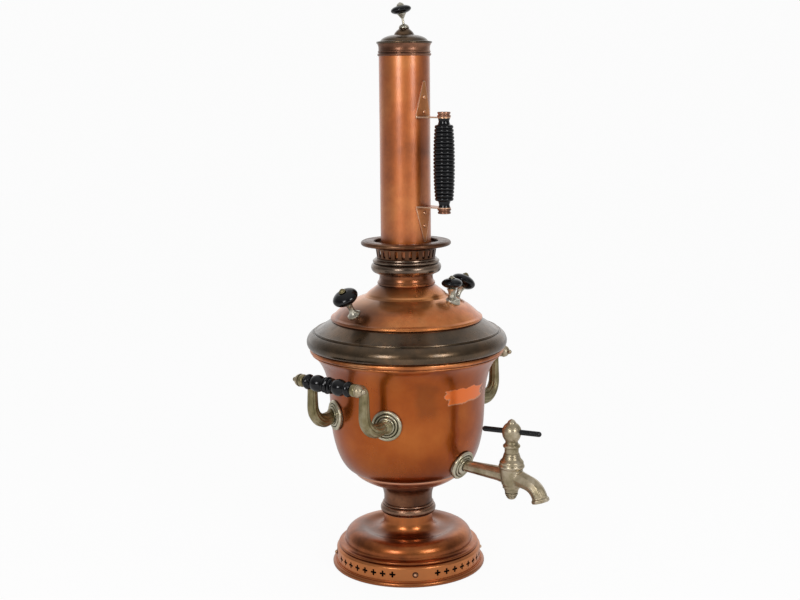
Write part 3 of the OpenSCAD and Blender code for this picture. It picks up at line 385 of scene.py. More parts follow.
cross_centre = Vector((CROSS_START, 0, RIVET_LEVEL)) * MM
clear_selection()
bpy.ops.mesh.primitive_circle_add(vertices=4 * LOBE_POINTS, radius=CROSS_R * MM, fill_type="NGON",
                                  rotation=(0, math.pi / 2, 0), location=cross_centre)
cross = settle(bpy.context.object)
for away, factor in enumerate(LOBE_DRAW, start=1):
    pick(cross)
    for part in (*cross.data.polygons, *cross.data.edges):
        part.select = False
    for point in cross.data.vertices:
        past_lobe = point.index % LOBE_POINTS
        point.select = min(past_lobe, LOBE_POINTS - past_lobe) == away
    bpy.ops.object.mode_set(mode="EDIT")
    bpy.ops.transform.resize(value=(1, factor, factor), center_override=cross_centre)
    bpy.ops.object.mode_set(mode="OBJECT")
edit_all()
bpy.ops.mesh.extrude_region_move(TRANSFORM_OT_translate={"value": (CROSS_DEPTH * MM, 0, 0)})
bpy.ops.object.mode_set(mode="OBJECT")
tidy_skin(cross)
crosses = [copied(cross, "cross", math.radians(90 * quarter + CROSS_STEP * (i - (CROSSES - 1) / 2)))
           for quarter in range(4) for i in range(CROSSES)]
bpy.data.objects.remove(cross)
cut(foot_sheet, join("crosses", *crosses))

# Zones of colour: the band lighter, the rim browner, painted shade in the dish and a painted sheen on the
# neck.
BAND_ZONE, RIM_ZONE = (-10.0, BAND_TOP + 2.5, 2.0), (BAND_R + 1, 200.0, 0.4)
DISH_SHADE_ZONE, NECK_SHEEN_ZONE = (41.0, 74.0, 6.0), (30.0, 38.0, 3.0)
foot_copper = copper_finish("foot_copper", (116, 62, 30), (164, 90, 45), (190, 113, 60),
                            rough=(0.28, 0.36), dents=0.2, coat=0.26, coat_rough=0.18)
tint_zone(foot_copper, "height", BAND_ZONE, 0.62, (230, 146, 86))
tint_zone(foot_copper, "reach", RIM_ZONE, 0.6, (132, 70, 36))
# Painted shade in the dish under the collar.
tint_zone(foot_copper, "reach", DISH_SHADE_ZONE, 0.55, (92, 58, 38))
# Painted sheen on the foot's neck.
tint_zone(foot_copper, "reach", NECK_SHEEN_ZONE, 0.5, (232, 140, 76))
finished(smooth(tidy_skin(foot_sheet), 32), foot_copper, "body", "copper", "foot")

# The rivet heads are painted pale as a highlight, with painted shade in a dark ring where they meet the band.
RIVET_SHADE_RING = (90.0, BAND_R + 0.9, 0.2)
rivet_highlight_copper = copper_finish("rivet_highlight_copper", (180, 128, 92), (226, 180, 140), (244, 212, 180), coat=0.5)
tint_zone(rivet_highlight_copper, "reach", RIVET_SHADE_RING, 1.0, (66, 36, 20))
dress(rivet_highlight_copper, "foot_rivets")

# -----------------------------
# Stem: a dark bronze ring cast with two beads slips over the foot's neck, and
# a brown copper collar flares from it to a dish that carries the bowl.


def bronze_finish(name, dark, mid, light, rough=(0.24, 0.38)):
    """Dark patinated bronze, browner where hands and cloths have rubbed it, with painted shade in its
    creases.
    """
    finish, n, links, shader = new_finish(name)
    dark, mid, light = tone(*dark), tone(*mid), tone(*light)
    colour = ramp(n, links, noise(n, links, 24, 6, rough=0.6), [(0.36, dark), (0.52, mid), (0.7, light)])
    # Painted shade: darker in creases and corners.
    crease_shade = ramp(n, links, crease(n, links, 5), [(0.35, 0.45), (0.85, 1.0)])
    links.new(blend(n, links, 1.0, colour, crease_shade, "MULTIPLY"), shader.inputs["Base Color"])
    dulled(n, links, shader, 60, rough)
    links.new(bump(n, links, noise(n, links, 30, 3), 0.25), shader.inputs["Normal"])
    fill(shader, {"Metallic": 1.0, "Coat Weight": 0.4, "Coat Roughness": 0.16})
    return finish


stem_bronze = bronze_finish("stem_bronze", (96, 71, 55), (140, 104, 82), (178, 136, 108))
dress(stem_bronze, "stem_ring")
# Painted sheen: the collar's dish is lightened to a pale pink.
COLLAR_DISH_SHEEN = (45.0, 200.0, 6.0)
collar_copper = copper_finish("collar_copper", (76, 46, 30), (116, 72, 46), (152, 104, 74), stains=0.4)
tint_zone(collar_copper, "reach", COLLAR_DISH_SHEEN, 0.8, (232, 168, 134))
dress(collar_copper, "stem_collar")

# -----------------------------
# Bowl: a vase of thin copper sheet, spun and then a little dented by use, with
# thick amber lacquer, a bare bright patch over the tap and a dark run below it.
BOWL_FLOOR, BOWL_WAIST, BOWL_TOP = 141.0, 225.0, 322.0
BOWL_FLOOR_R, BOWL_WAIST_R, BOWL_TOP_R = 78.5, 110.6, 134.0
BOWL_HOLE_R, BOWL_SHEET, RIM_BAND_H = 34.0, 1.2, 10.5
DENT_SPREAD, DENT_DEPTH, DENT_LEVEL = 0.045, 0.7, 0.62

waist = (BOWL_WAIST_R, BOWL_WAIST)
bowl_side = (
    curve((BOWL_FLOOR_R + 1.4, BOWL_FLOOR + 0.4), (BOWL_WAIST_R - 10.6, BOWL_FLOOR + 9.5),
          (BOWL_WAIST_R - 1.1, BOWL_FLOOR + 47), waist, 20)
    + curve(waist, (BOWL_WAIST_R + 0.8, BOWL_WAIST + 25), (BOWL_WAIST_R, BOWL_TOP - RIM_BAND_H - 19),
            (BOWL_TOP_R - 0.6, BOWL_TOP - RIM_BAND_H - 0.5), 20)
    + [(BOWL_TOP_R, BOWL_TOP - RIM_BAND_H + 0.6), (BOWL_TOP_R, BOWL_TOP)])
bowl_sheet = turn("bowl_sheet", [(BOWL_HOLE_R, BOWL_FLOOR), (BOWL_FLOOR_R, BOWL_FLOOR)] + bowl_side, 192)
dents = bpy.data.textures.new("dents", "CLOUDS")
dents.noise_scale = DENT_SPREAD
dents.noise_depth = 1
shape(bowl_sheet, "DISPLACE", texture=dents, texture_coords="GLOBAL", strength=DENT_DEPTH * MM,
      mid_level=DENT_LEVEL)
shape(bowl_sheet, "SOLIDIFY", thickness=BOWL_SHEET * MM, offset=-1)
smooth(bowl_sheet, 30)


def ragged_window(n, links, source, low, high, edge, scale, reach):
    """A window whose limits are pushed about, up to a reach, by noise of a scale."""
    push = math_of(n, links, "MULTIPLY", math_of(n, links, "SUBTRACT", noise(n, links, scale, 3), 0.5), reach)
    return window(n, links, math_of(n, links, "ADD", source, push), low, high, edge)


def stain(finish, turns, levels, strength, colour):
    """Tint a finish inside a ragged patch, between turns in radians and levels in metres.

    Both are given as low, high and soft edge, and the scale and reach of what makes them ragged.
    """
    n, links, _ = reopen(finish)
    across = ragged_window(n, links, place_value(n, links, "turn"), *turns)
    upwards = ragged_window(n, links, place_value(n, links, "height"), *levels)
    tint(finish, math_of(n, links, "MULTIPLY", across, upwards), strength, colour)


# Marks in the lacquer: a dark run, a blotch and a bare patch with a flaked edge; painted shade darkens the
# low side.
RUN_TURNS, RUN_LEVELS = (-1.86, -1.76, 0.02, 35, 0.16), (0.172, 0.258, 0.004, 35, 0.0)
BLOTCH_TURNS, BLOTCH_LEVELS = (-2.36, -2.1, 0.05, 18, 0.3), (0.236, 0.292, 0.006, 18, 0.03)
LOW_SHADE = (100.0, 176.0, 20.0)
FLAKE_TURNS, FLAKE_LEVELS = (-1.94, -1.27, 0.01, 105, 0.34), (0.2566, 0.277, 0.0008, 45, 0.014)
PATCH_TURNS, PATCH_LEVELS = (-1.92, -1.29, 0.01, 105, 0.34), (0.258, 0.277, 0.0006, 45, 0.014)
bowl_copper = copper_finish("bowl_copper", (146, 68, 22), (176, 87, 28), (194, 106, 42),
                            rough=(0.27, 0.35), dents=0.3, patch=9, coat=0.35, coat_rough=0.1, stains=0.12)
stain(bowl_copper, RUN_TURNS, RUN_LEVELS, 0.5, (150, 60, 18))
stain(bowl_copper, BLOTCH_TURNS, BLOTCH_LEVELS, 0.45, (124, 64, 24))
# Painted shade: the bowl is darker towards the bottom.
tint_zone(bowl_copper, "height", LOW_SHADE, 0.4, (112, 50, 16))
stain(bowl_copper, FLAKE_TURNS, FLAKE_LEVELS, 0.6, (250, 190, 150))
stain(bowl_copper, PATCH_TURNS, PATCH_LEVELS, 1.0, (255, 130, 62))
finished(bowl_sheet, bowl_copper, "body", "copper", "bowl")

# -----------------------------
# Rim and shoulder: a copper band with a small and a broad bead is soldered round
# the bowl's rim, and a heavy bronze ring with a wide bead on it carries the lid.
SHOULDER_LEVEL, SHOULDER_STEP, SEAT_LEVEL, SHOULDER_OUT = 322.0, 345.0, 360.5, 9.4
MOUTH_R, LID_R, BRONZE_WALL = 97.5, 108.0, 2.2


def bead(cx, low, high, out, count):
    """Points over a flattened bead that stands out between two levels."""
    return [(cx + out * math.cos(math.radians(-90 + 180 * i / count)),
             (low + high) / 2 + (high - low) / 2 * math.sin(math.radians(-90 + 180 * i / count)))
            for i in range(count + 1)]


rim_copper = copper_finish("rim_copper", (160, 90, 48), (218, 132, 74), (236, 166, 112))
band_foot = SHOULDER_LEVEL - RIM_BAND_H
rim_roll = turn("rim_roll", [(BOWL_TOP_R + 0.15, band_foot + 0.4), (BOWL_TOP_R + 0.8, band_foot + 0.4)]
                + bead(BOWL_TOP_R + 0.8, band_foot + 0.5, band_foot + 2.5, 0.9, 8)
                + [(BOWL_TOP_R + 1, band_foot + 2.7)]
                + bead(BOWL_TOP_R + 1, band_foot + 2.9, SHOULDER_LEVEL - 0.3, 3.4, 14)
                + [(BOWL_TOP_R + 0.15, SHOULDER_LEVEL - 0.2), (BOWL_TOP_R + 0.15, band_foot + 0.4)], 160)
finished(smooth(rim_roll, 32), rim_copper, "body", "copper", "rim_band")

dark_bronze = bronze_finish("dark_bronze", (72, 60, 46), (94, 76, 57), (120, 92, 66))
shoulder_outline = (
    near(BOWL_TOP_R, SHOULDER_LEVEL, (-3, 0), (4.6, 0))
    + curve(*near(BOWL_TOP_R, SHOULDER_LEVEL, (5, 0.3), (SHOULDER_OUT + 1, 3)),
            *near(BOWL_TOP_R, SHOULDER_STEP, (SHOULDER_OUT + 1.2, -6.4), (0, -0.8)), 18)
    + near(BOWL_TOP_R, SHOULDER_STEP, (-1, -1.6), (-2.2, -1.2))
    + curve(*near(BOWL_TOP_R, SHOULDER_STEP, (-2.4, 0.2), (-2.5, 1.6), (-3.2, 2.2), (-4.4, 2)), 5)
    + curve(*near(BOWL_TOP_R, SHOULDER_STEP, (-5, 1.6), (-11.4, 5)),
            *near(LID_R, SEAT_LEVEL, (7.4, -5.4), (-1, -0.05)), 12)
    + near(MOUTH_R, SEAT_LEVEL, (0.1, -0.05)))
shoulder = turn("shoulder_casting", shoulder_outline, 160)
shape(shoulder, "SOLIDIFY", thickness=BRONZE_WALL * MM, offset=-1)
finished(smooth(tidy_skin(shoulder), 32), dark_bronze, "body", "dark_bronze", "shoulder_ring")

# -----------------------------
# Fire: a copper cone and tube stand through the bowl, over a cast iron grate
# and an ash plate in the foot. Soot and scale dull them.
scaled_copper = copper_finish("scaled_copper", (60, 38, 30), (110, 66, 46), (140, 92, 66),
                              rough=(0.45, 0.7), coat=0.0, stains=0.6)
dress(scaled_copper, "fire_cone", "fire_tube")


def iron_finish(name):
    """Sooty iron plate."""
    finish, n, links, shader = new_finish(name)
    colour = ramp(n, links, noise(n, links, 50, 6), [(0.35, tone(38, 36, 34)), (0.7, tone(74, 64, 56))])
    links.new(colour, shader.inputs["Base Color"])
    dulled(n, links, shader, 90, (0.6, 0.85), 5)
    links.new(bump(n, links, noise(n, links, 150, 5), 0.2), shader.inputs["Normal"])
    fill(shader, {"Metallic": 0.6})
    return finish


sooty_iron = iron_finish("sooty_iron")
dress(sooty_iron, "fire_grate", "foot_plate", "grip_rod")

# -----------------------------
# Handles: on each side two stepped rosettes are screwed to the bowl, and two
# fluted arms cast in nickelled brass rise from them to a black turned bar.
HANDLE_LEVEL, HANDLE_HALF, BAR_RISE, BAR_REACH = 229.0, 47.5, 64.0, 164.0
ARM_REACH, ARM_BEND, CROOK_BEND = 146.0, 25.0, 10.0
ARM_ROOT_R, ARM_BEND_R, ARM_SIDES, ARM_FLUTE = 10.4, 11.2, 24, 0.76
BEND_TAPER, UPRIGHT_TAPER, CROOK_TAPER, EYE_TAPER = 0.76, 0.966, 0.97, 0.9
UPRIGHT_STEPS, ARM_SINK, ARM_VOXEL = 4, 4.0, 0.42
EYE_R, EYE_HALF, BOLT_R, BOLT_HALF = 7.0, 4.5, 2.6, 20.0
ROSETTE_R, ROSETTE_H, ROSETTE_RISE = 21.5, 8.0, 3.0
ROSETTE_TURN = math.asin(HANDLE_HALF / (BOWL_WAIST_R + 0.4))


def nickel_finish(name, dark, mid, light, rough=(0.3, 0.46), metal=0.85):
    """Worn nickel over yellow brass, with greenish dirt and painted shade in its creases and a cast, lightly
    pitted skin.
    """
    finish, n, links, shader = new_finish(name)
    dark, mid, light = tone(*dark), tone(*mid), tone(*light)
    colour = ramp(n, links, noise(n, links, 60, 6, rough=0.6), [(0.34, dark), (0.5, mid), (0.7, light)])
    worn = noise(n, links, 18, 4)
    colour = blend(n, links, ramp(n, links, worn, [(0.5, 0.0), (0.72, 0.5)]), colour, dark)
    # Greenish dirt and painted shade together: creases and corners turn a dark olive.
    crease_shade = ramp(n, links, crease(n, links, 3), [(0.35, 0.0), (0.95, 1.0)])
    links.new(blend(n, links, crease_shade, tone(62, 58, 34), colour), shader.inputs["Base Color"])
    dulled(n, links, shader, 90, rough)
    links.new(bump(n, links, noise(n, links, 260, 5, rough=0.7), 0.07), shader.inputs["Normal"])
    fill(shader, {"Metallic": metal})
    return finish


def wood_finish(name):
    """Turned wood under black gloss varnish, a little brown where it has worn through."""
    finish, n, links, shader = new_finish(name)
    colour = ramp(n, links, noise(n, links, 70, 6, rough=0.65),
                  [(0.4, tone(4, 4, 8)), (0.66, tone(9, 9, 12)), (0.8, tone(30, 20, 14))])
    links.new(colour, shader.inputs["Base Color"])
    dulled(n, links, shader, 120, (0.12, 0.24), 5)
    links.new(bump(n, links, noise(n, links, 200, 4), 0.05), shader.inputs["Normal"])
    fill(shader, {"Specular IOR Level": 0.4})
    return finish


handle_nickel = nickel_finish("handle_nickel", (118, 108, 74), (150, 138, 104), (186, 176, 146))
nickel_brass = nickel_finish("nickel_brass", (152, 139, 110), (186, 171, 144), (214, 202, 180),
                             (0.32, 0.46), 0.9)
rosette_nickel = nickel_finish("rosette_nickel", (156, 149, 122), (194, 186, 160),
                               (222, 215, 196), (0.28, 0.42))
bright_nickel = nickel_finish("bright_nickel", (160, 154, 134), (196, 190, 174),
                              (224, 220, 208), (0.24, 0.38), 0.82)
black_wood = wood_finish("black_wood")


def place(piece, move, tip=0.0):
    """Tip a piece from upright towards +X, by an angle in radians, and move it."""
    piece.matrix_world = Matrix.Translation(Vector(move) * MM) @ Matrix.Rotation(tip, 4, "Y")
    return settle(piece)


def lay(piece, centre):
    """Lay an upright piece along Y, with its middle at a centre in millimetres."""
    piece.rotation_euler = (math.pi / 2, 0, 0)
    piece.location = Vector(centre) * MM
    return settle(piece)


def rosette_outline():
    """Half section of a rosette: a broad rolled edge, two fine steps and a flat seat for the arm."""
    return ([(0, -6), (ROSETTE_R - 1, -6), (ROSETTE_R - 1, -1.5)]
            + arc(ROSETTE_R - 2.8, 1, 2.8, -50, 130, 10)
            + curve(*near(ROSETTE_R, 0, (-5.2, 1.7), (-5.4, 4.6), (-7.4, 5.4), (-8.6, 4.2)), 7)
            + curve(*near(ROSETTE_R, 0, (-9, 3.2), (-9.2, 5.6), (-10.6, 6.6), (-12, 6.7)), 6)
            + [(ROSETTE_R - 12, 6.8), (0, 6.8)])


def bowl_former():
    """The space that the bowl fills, a tenth of a millimetre larger, to cut what sits on it."""
    side = [(r + 0.1, z) for r, z in bowl_side]
    return turn("bowl_former", [(0, BOWL_FLOOR)] + side + [(0, BOWL_TOP)], 192)


rosette_level = HANDLE_LEVEL + ROSETTE_RISE
rosette = place(turn("rosette", rosette_outline()), (BOWL_WAIST_R + 0.6, 0, rosette_level), math.pi / 2)
rosette = smooth(tidy_skin(cut(rosette, bowl_former())), 32)


def begin_rod(name, centre, radius, sides, flute):
    """Start a rod that runs along +X: a ring of points, every second one drawn in for the flutes."""
    clear_selection()
    bpy.ops.mesh.primitive_circle_add(vertices=sides, radius=radius * MM, fill_type="NOTHING",
                                      location=Vector(centre) * MM, rotation=(0, math.pi / 2, 0))
    rod = settle(bpy.context.object)
    rod.name = rod.data.name = name
    for point in rod.data.vertices:
        point.select = point.index % 2 == 0
    for edge in rod.data.edges:
        edge.select = False
    bpy.ops.object.mode_set(mode="EDIT")
    bpy.ops.transform.resize(value=(1, flute, flute), center_override=Vector(centre) * MM)
    bpy.ops.mesh.select_all(action="SELECT")
    return rod


def run(move, factor, centre):
    """Draw the rod's end on by a move, then size it by a factor about its new centre."""
    bpy.ops.mesh.extrude_edges_move(TRANSFORM_OT_translate={"value": Vector(move) * MM})
    bpy.ops.transform.resize(value=(factor,) * 3, center_override=Vector(centre) * MM)


def swing(centre, start, degrees, steps, factor):
    """Bend the rod's end round a centre about Y in steps, sizing it by a factor over the whole bend.

    Spin turns a mesh against its angle.
    """
    arm = Vector(start) - Vector(centre)
    for i in range(steps):
        bpy.ops.mesh.spin(steps=1, angle=-math.radians(degrees / steps), center=Vector(centre) * MM,
                          axis=(0, 1, 0))
        turned = Matrix.Rotation(math.radians(degrees * (i + 1) / steps), 3, "Y") @ arm
        bpy.ops.transform.resize(value=(factor ** (1 / steps),) * 3,
                                 center_override=(Vector(centre) + turned) * MM)


def end_rod(rod):
    """Close both ends of a rod."""
    bpy.ops.mesh.select_all(action="SELECT")
    bpy.ops.mesh.fill_holes(sides=0)
    bpy.ops.object.mode_set(mode="OBJECT")
    return tidy_skin(rod)


root_x = (BOWL_WAIST_R + ROSETTE_H) * math.cos(ROSETTE_TURN) - ARM_SINK
bend_x = ARM_REACH - ARM_BEND
crook_x, crook_z = ARM_REACH + CROOK_BEND, BAR_RISE - CROOK_BEND
upright = crook_z - ARM_BEND
arm = begin_rod("arm", (root_x, 0, ROSETTE_RISE), ARM_ROOT_R, ARM_SIDES, ARM_FLUTE)
run((bend_x - root_x, 0, -ROSETTE_RISE), ARM_BEND_R / ARM_ROOT_R, (bend_x, 0, 0))
swing((bend_x, 0, ARM_BEND), (bend_x, 0, 0), -90, 10, BEND_TAPER)
for i in range(UPRIGHT_STEPS):
    rise = upright * (i + 1) / UPRIGHT_STEPS
    run((0, 0, upright / UPRIGHT_STEPS), UPRIGHT_TAPER, (ARM_REACH, 0, ARM_BEND + rise))
swing((crook_x, 0, crook_z), (ARM_REACH, 0, crook_z), 90, 6, CROOK_TAPER)
run((BAR_REACH - crook_x, 0, 0), EYE_TAPER, (BAR_REACH, 0, BAR_RISE))
end_rod(arm)
shape(arm, "SUBSURF", levels=2, render_levels=2)
place(arm, (0, HANDLE_HALF, HANDLE_LEVEL))
bar_end = (BAR_REACH, HANDLE_HALF, HANDLE_LEVEL + BAR_RISE)
eye = turn("eye", [(0, -EYE_HALF), (EYE_R, -EYE_HALF)] + bead(EYE_R, 0.2 - EYE_HALF, EYE_HALF - 0.2, 1.8, 10)
           + [(EYE_R, EYE_HALF), (0, EYE_HALF)], 48)
lay(eye, bar_end)
boss = turn("boss", [(0, 0), (9.6, 0)] + arc(8.6, 1.6, 1.4, -50, 100, 6)
            + curve((8.2, 3.2), (7.6, 3.6), (7.2, 4.6), (6.2, 5.6), 5) + [(0, 5.6)], 48)
place(boss, (BOWL_WAIST_R + 7.3, 0, rosette_level), math.pi / 2)
swivel(boss, ROSETTE_TURN)
arm = join("arm_casting", arm, eye, boss)
shape(arm, "REMESH", mode="VOXEL", voxel_size=ARM_VOXEL * MM)
shape(arm, "SMOOTH", factor=0.4, iterations=1)
hole = [(0, -BOLT_HALF), (BOLT_R, -BOLT_HALF), (BOLT_R, BOLT_HALF), (0, BOLT_HALF)]
smooth(cut(arm, lay(turn("bolt_hole", hole, 32), bar_end)), 50)

for side, half_turn in (("right", 0.0), ("left", math.pi)):
    for end in ("rear", "front"):
        mirrored = (end == "front") == (side == "right")
        way = -1 if mirrored else 1
        finished(copied(rosette, f"rosette_plate_{side}_{end}", half_turn + way * ROSETTE_TURN),
                 rosette_nickel, "body", "nickel_brass", f"rosette_{side}_{end}")
        finished(copied(arm, f"fluted_arm_{side}_{end}", half_turn, mirrored),
                 handle_nickel, "body", "nickel_brass", f"arm_{side}_{end}")
for pattern in (arm, rosette):
    bpy.data.objects.remove(pattern)
dress(nickel_brass, "bar_bolt_left", "bar_bolt_right", "bar_nut_left", "bar_nut_right")
dress(handle_nickel, "arm_nuts")
dress(black_wood, "bar_left", "bar_right")

# -----------------------------
# Tap: housing, barrel and spout are one sand casting in nickelled brass, its
# spout eight-sided with a flared lip. The plug carries a ball, a cross bar and
# a finial, and a stepped nut holds it from below.
TAP_LEVEL, TAP_REACH, TAP_LEAN = 163.0, 184.0, math.radians(20)
TAP_TURN, TAP_VOXEL, WATERWAY_R = math.radians(-90), 0.6, 4.5
HOUSE_UP, HOUSE_DOWN, HOUSE_R = 29.5, 20.0, 15.6
SHANK_R, SHANK_HOLE_R, BARREL_R, BARREL_REACH = 7.0, 8.4, 7.8, 9.8
PLUG_TOP_R, PLUG_END_R, PLUG_GAP = 9.2, 7.2, 0.12
SPOUT_START, SPOUT_SLOPE, SPOUT_RUN, SPOUT_BEND, SPOUT_TURN = 2.0, 14.0, 29.5, 25.3, 58.0
# Radii of the spout and its bore at root, throat and mouth, and the lip's steps as lengths and swells.
SPOUT_RADII, BORE_RADII = (12.6, 10.8, 11.4), (WATERWAY_R, WATERWAY_R, 6.0)
MOUTH_LENGTH, LIP_STEPS = 0.8, ((1.0, 1.1), (3.4, 1.0), (1.2, 0.9))


def bowl_radius(level):
    """The bowl's outer radius at a height, in millimetres."""
    for (r0, z0), (r1, z1) in zip(bowl_side, bowl_side[1:]):
        if z0 <= level <= z1 and z1 > z0:
            return r0 + (r1 - r0) * (level - z0) / (z1 - z0)


house_top, house_end = TAP_LEVEL + HOUSE_UP, TAP_LEVEL - HOUSE_DOWN
housing_outline = (
    near(0, house_end, (0, 0), (9.8, 0), (10, 3), (12, 3.6), (12.4, 8), (13.6, 9))
    + curve(*near(0, house_end, (13.8, 10), (15, 16), (HOUSE_R, 22)), (HOUSE_R, TAP_LEVEL + 10), 6)
    + bead(HOUSE_R, TAP_LEVEL + 11.6, TAP_LEVEL + 17.2, 2.2, 8)
    + curve(*near(0, TAP_LEVEL, (16.4, 17.6), (17.4, 22), (13.6, 22.6)), (12.2, house_top - 3.4), 8)
    + [(11.4, house_top), (0, house_top)])
housing = turn("housing", housing_outline, 64)
place(housing, (TAP_REACH, 0, 0))
tap_wall = bowl_radius(TAP_LEVEL)
shank_start = tap_wall - 8
barrel_start = round(bowl_radius(TAP_LEVEL + BARREL_REACH)) + 3
shank = begin_rod("shank", (shank_start, 0, TAP_LEVEL), SHANK_R, 32, 1.0)
run((barrel_start - shank_start, 0, 0), 1.0, (barrel_start, 0, TAP_LEVEL))
end_rod(shank)
barrel = begin_rod("barrel", (barrel_start, 0, TAP_LEVEL), BARREL_R, 16, 0.96)
run((3, 0, 0), 1.04, (barrel_start + 3, 0, TAP_LEVEL))
run((TAP_REACH - 24 - barrel_start, 0, 0), 1.28, (TAP_REACH - 21, 0, TAP_LEVEL))
run((12, 0, 0), 1.22, (TAP_REACH - 9, 0, TAP_LEVEL))
end_rod(barrel)


def spout_part(name, radii, sides):
    """A rod along the spout's line, with its radius at the root, the throat and the mouth."""
    root, throat, mouth = radii
    part = begin_rod(name, (0, 0, 0), root, sides, 1.0)
    run((SPOUT_RUN / 2, 0, 0), (throat / root) ** 0.6, (SPOUT_RUN / 2, 0, 0))
    run((SPOUT_RUN / 2, 0, 0), (throat / root) ** 0.4, (SPOUT_RUN, 0, 0))
    swing((SPOUT_RUN, 0, -SPOUT_BEND), (SPOUT_RUN, 0, 0), SPOUT_TURN, 8, 1.0)
    bend = math.radians(SPOUT_TURN)
    end = Vector((SPOUT_RUN + SPOUT_BEND * math.sin(bend), 0, SPOUT_BEND * (math.cos(bend) - 1)))
    along = Vector((math.cos(bend), 0, -math.sin(bend)))
    for length, size in ((MOUTH_LENGTH, mouth / throat), *LIP_STEPS):
        end = end + along * length
        run(along * length, size, end)
    end_rod(part)
    return place(part, (TAP_REACH, 0, TAP_LEVEL + SPOUT_START), math.radians(SPOUT_SLOPE))


spout = spout_part("spout", SPOUT_RADII, 8)
casting = join("tap_casting", housing, shank, barrel, spout)
shape(casting, "REMESH", mode="VOXEL", voxel_size=TAP_VOXEL * MM)
shape(casting, "SMOOTH", factor=0.5, iterations=2)
cut(casting, spout_part("water", BORE_RADII, 24))
seat = turn("seat", [(0, house_end - 2), (PLUG_END_R + PLUG_GAP - 0.1, house_end - 2),
                     (PLUG_TOP_R + PLUG_GAP + 0.1, house_top + 2), (0, house_top + 2)], 64)
cut(casting, place(seat, (TAP_REACH, 0, 0)))
finished(smooth(swivel(casting, TAP_TURN), 50), nickel_brass, "body", "nickel_brass", "tap_body")

plate = turn("tap_plate", rosette_outline())
place(plate, (tap_wall + 0.4, 0, TAP_LEVEL), math.pi / 2 + TAP_LEAN)
tidy_skin(cut(plate, bowl_former()))
shank_hole = turn("shank_hole", [(0, -30), (SHANK_HOLE_R, -30), (SHANK_HOLE_R, 40), (0, 40)], 48)
cut(plate, place(shank_hole, (tap_wall, 0, TAP_LEVEL), math.pi / 2))
finished(smooth(swivel(plate, TAP_TURN), 32), rosette_nickel, "body", "nickel_brass", "tap_rosette")

NUT_LONG, NUT_R, NUT_BORE_R, NUT_BORE_DEPTH = 10.4, 8.2, 4.1, 6.2
nut_top = house_end - 2.1
nut_low = nut_top - NUT_LONG
nut_outline = (
    [(0, nut_low)] + curve(*near(0, nut_low, (2.4, 0), (4.4, 0.2), (5.4, 1), (5.6, 2)), 5)
    + bead(5.8, nut_low + 2.2, nut_low + 4, 0.9, 6)
    + bead(6.8, nut_low + 4.2, nut_low + 6.2, 0.9, 6)
    + bead(7.8, nut_low + 6.5, nut_low + 9.4, 1.2, 8)
    + near(NUT_R, nut_top, (0, -0.4), (0, 0)) + near(NUT_BORE_R, nut_top, (0, 0), (0, -NUT_BORE_DEPTH))
    + [(0, nut_top - NUT_BORE_DEPTH)])
end_nut = turn("stepped_nut", nut_outline, 64)
place(end_nut, (0, -TAP_REACH, 0))
finished(smooth(end_nut, 32), nickel_brass, "tap_key", "nickel_brass", "tap_end_nut")
dress(nickel_brass, "tap_nut", "tap_plug", "tap_finial", "tap_washer")
dress(black_wood, "tap_key_bar")

# -----------------------------
# Lid: spun copper with a beaded edge and a bronze ring cast with two beads round its neck.
# Painted shade darkens it round its neck, a painted highlight lightens its middle, and
# patina with painted shade clouds its far side. Two black knobs on spool stems
# lift it, and a steam vent has a loose black cap.
LID_NECK_SHADE, LID_HIGHLIGHT, LID_PATINA_AND_SHADE = (30.0, 42.0, 3.0), (50.0, 80.0, 8.0), (2.75, 3.6, 0.3, 14, 0.5)
lid_copper = copper_finish("lid_copper", (130, 72, 36), (216, 124, 62), (238, 158, 92),
                           rough=(0.26, 0.38), patch=10, stains=0.3, metal=0.9, coat=0.45, coat_rough=0.14)
# Painted shade round the lid's neck, under the bronze ring.
tint_zone(lid_copper, "reach", LID_NECK_SHADE, 0.55, (92, 52, 30))
# Painted highlight on the middle of the lid.
tint_zone(lid_copper, "reach", LID_HIGHLIGHT, 0.5, (252, 176, 108))
# Patina and painted shade cloud the far side of the lid.
n, links, _ = reopen(lid_copper)
far_side = math_of(n, links, "ABSOLUTE", place_value(n, links, "turn"))
tint(lid_copper, ragged_window(n, links, far_side, *LID_PATINA_AND_SHADE), 0.68, (88, 60, 42))
dress(lid_copper, "lid")

NECK_R, NECK_TOP, CROWN_FOOT, NECK_RING_R = 37.8, 426.0, 448.5, 50.2
ring_bore = NECK_R + 0.1
neck_outline = (
    near(ring_bore, NECK_TOP, (0, 0), (2.4, 0), (3.2, 0.6))
    + curve((ring_bore + 3.6, NECK_TOP + 1.4),
            *near(NECK_RING_R, NECK_TOP, (0.6, 1.8), (1.2, 13), (-3.4, 15.2)), 14)
    + near(NECK_RING_R, NECK_TOP, (-4.8, 15.8))
    + bead(NECK_RING_R - 4.9, NECK_TOP + 16, NECK_TOP + 20.4, 1.8, 8)
    + near(ring_bore, CROWN_FOOT, (5.8, -1.4), (5.4, 0), (0, 0)) + [(ring_bore, NECK_TOP)])
neck_casting = turn("neck_casting", neck_outline, 128)
neck_bronze = bronze_finish("neck_bronze", (96, 80, 68), (128, 108, 92), (158, 134, 114), (0.22, 0.34))
finished(smooth(neck_casting, 32), neck_bronze, "lid", "dark_bronze", "neck_ring")
dress(bright_nickel, "knob_stem_left", "knob_stem_right", "vent_seat", "vent_pin")
dress(handle_nickel, "knob_button_left", "knob_button_right")
dress(black_wood, "knob_left", "knob_right", "vent_disc")

# -----------------------------
# Crown: a pierced gallery with a wide rolled brim, brown with heat. A teapot
# stands on it when the pipe is off, and the hot gas leaves through its slots.
CROWN_TOP, CROWN_R = 473.1, 63.6
GALLERY_R, GALLERY_TAPER, CROWN_WALL = NECK_R + 5, 1.8, 1.5
CROWN_HOLE_R, BRIM_BEAD = NECK_R + 7.8, 6.6
CROWN_SLOTS, SLOT_W, SLOT_H, SLOT_DEPTH, SLOT_ROUND = 26, 4.6, 11.4, 8.0, 1.5

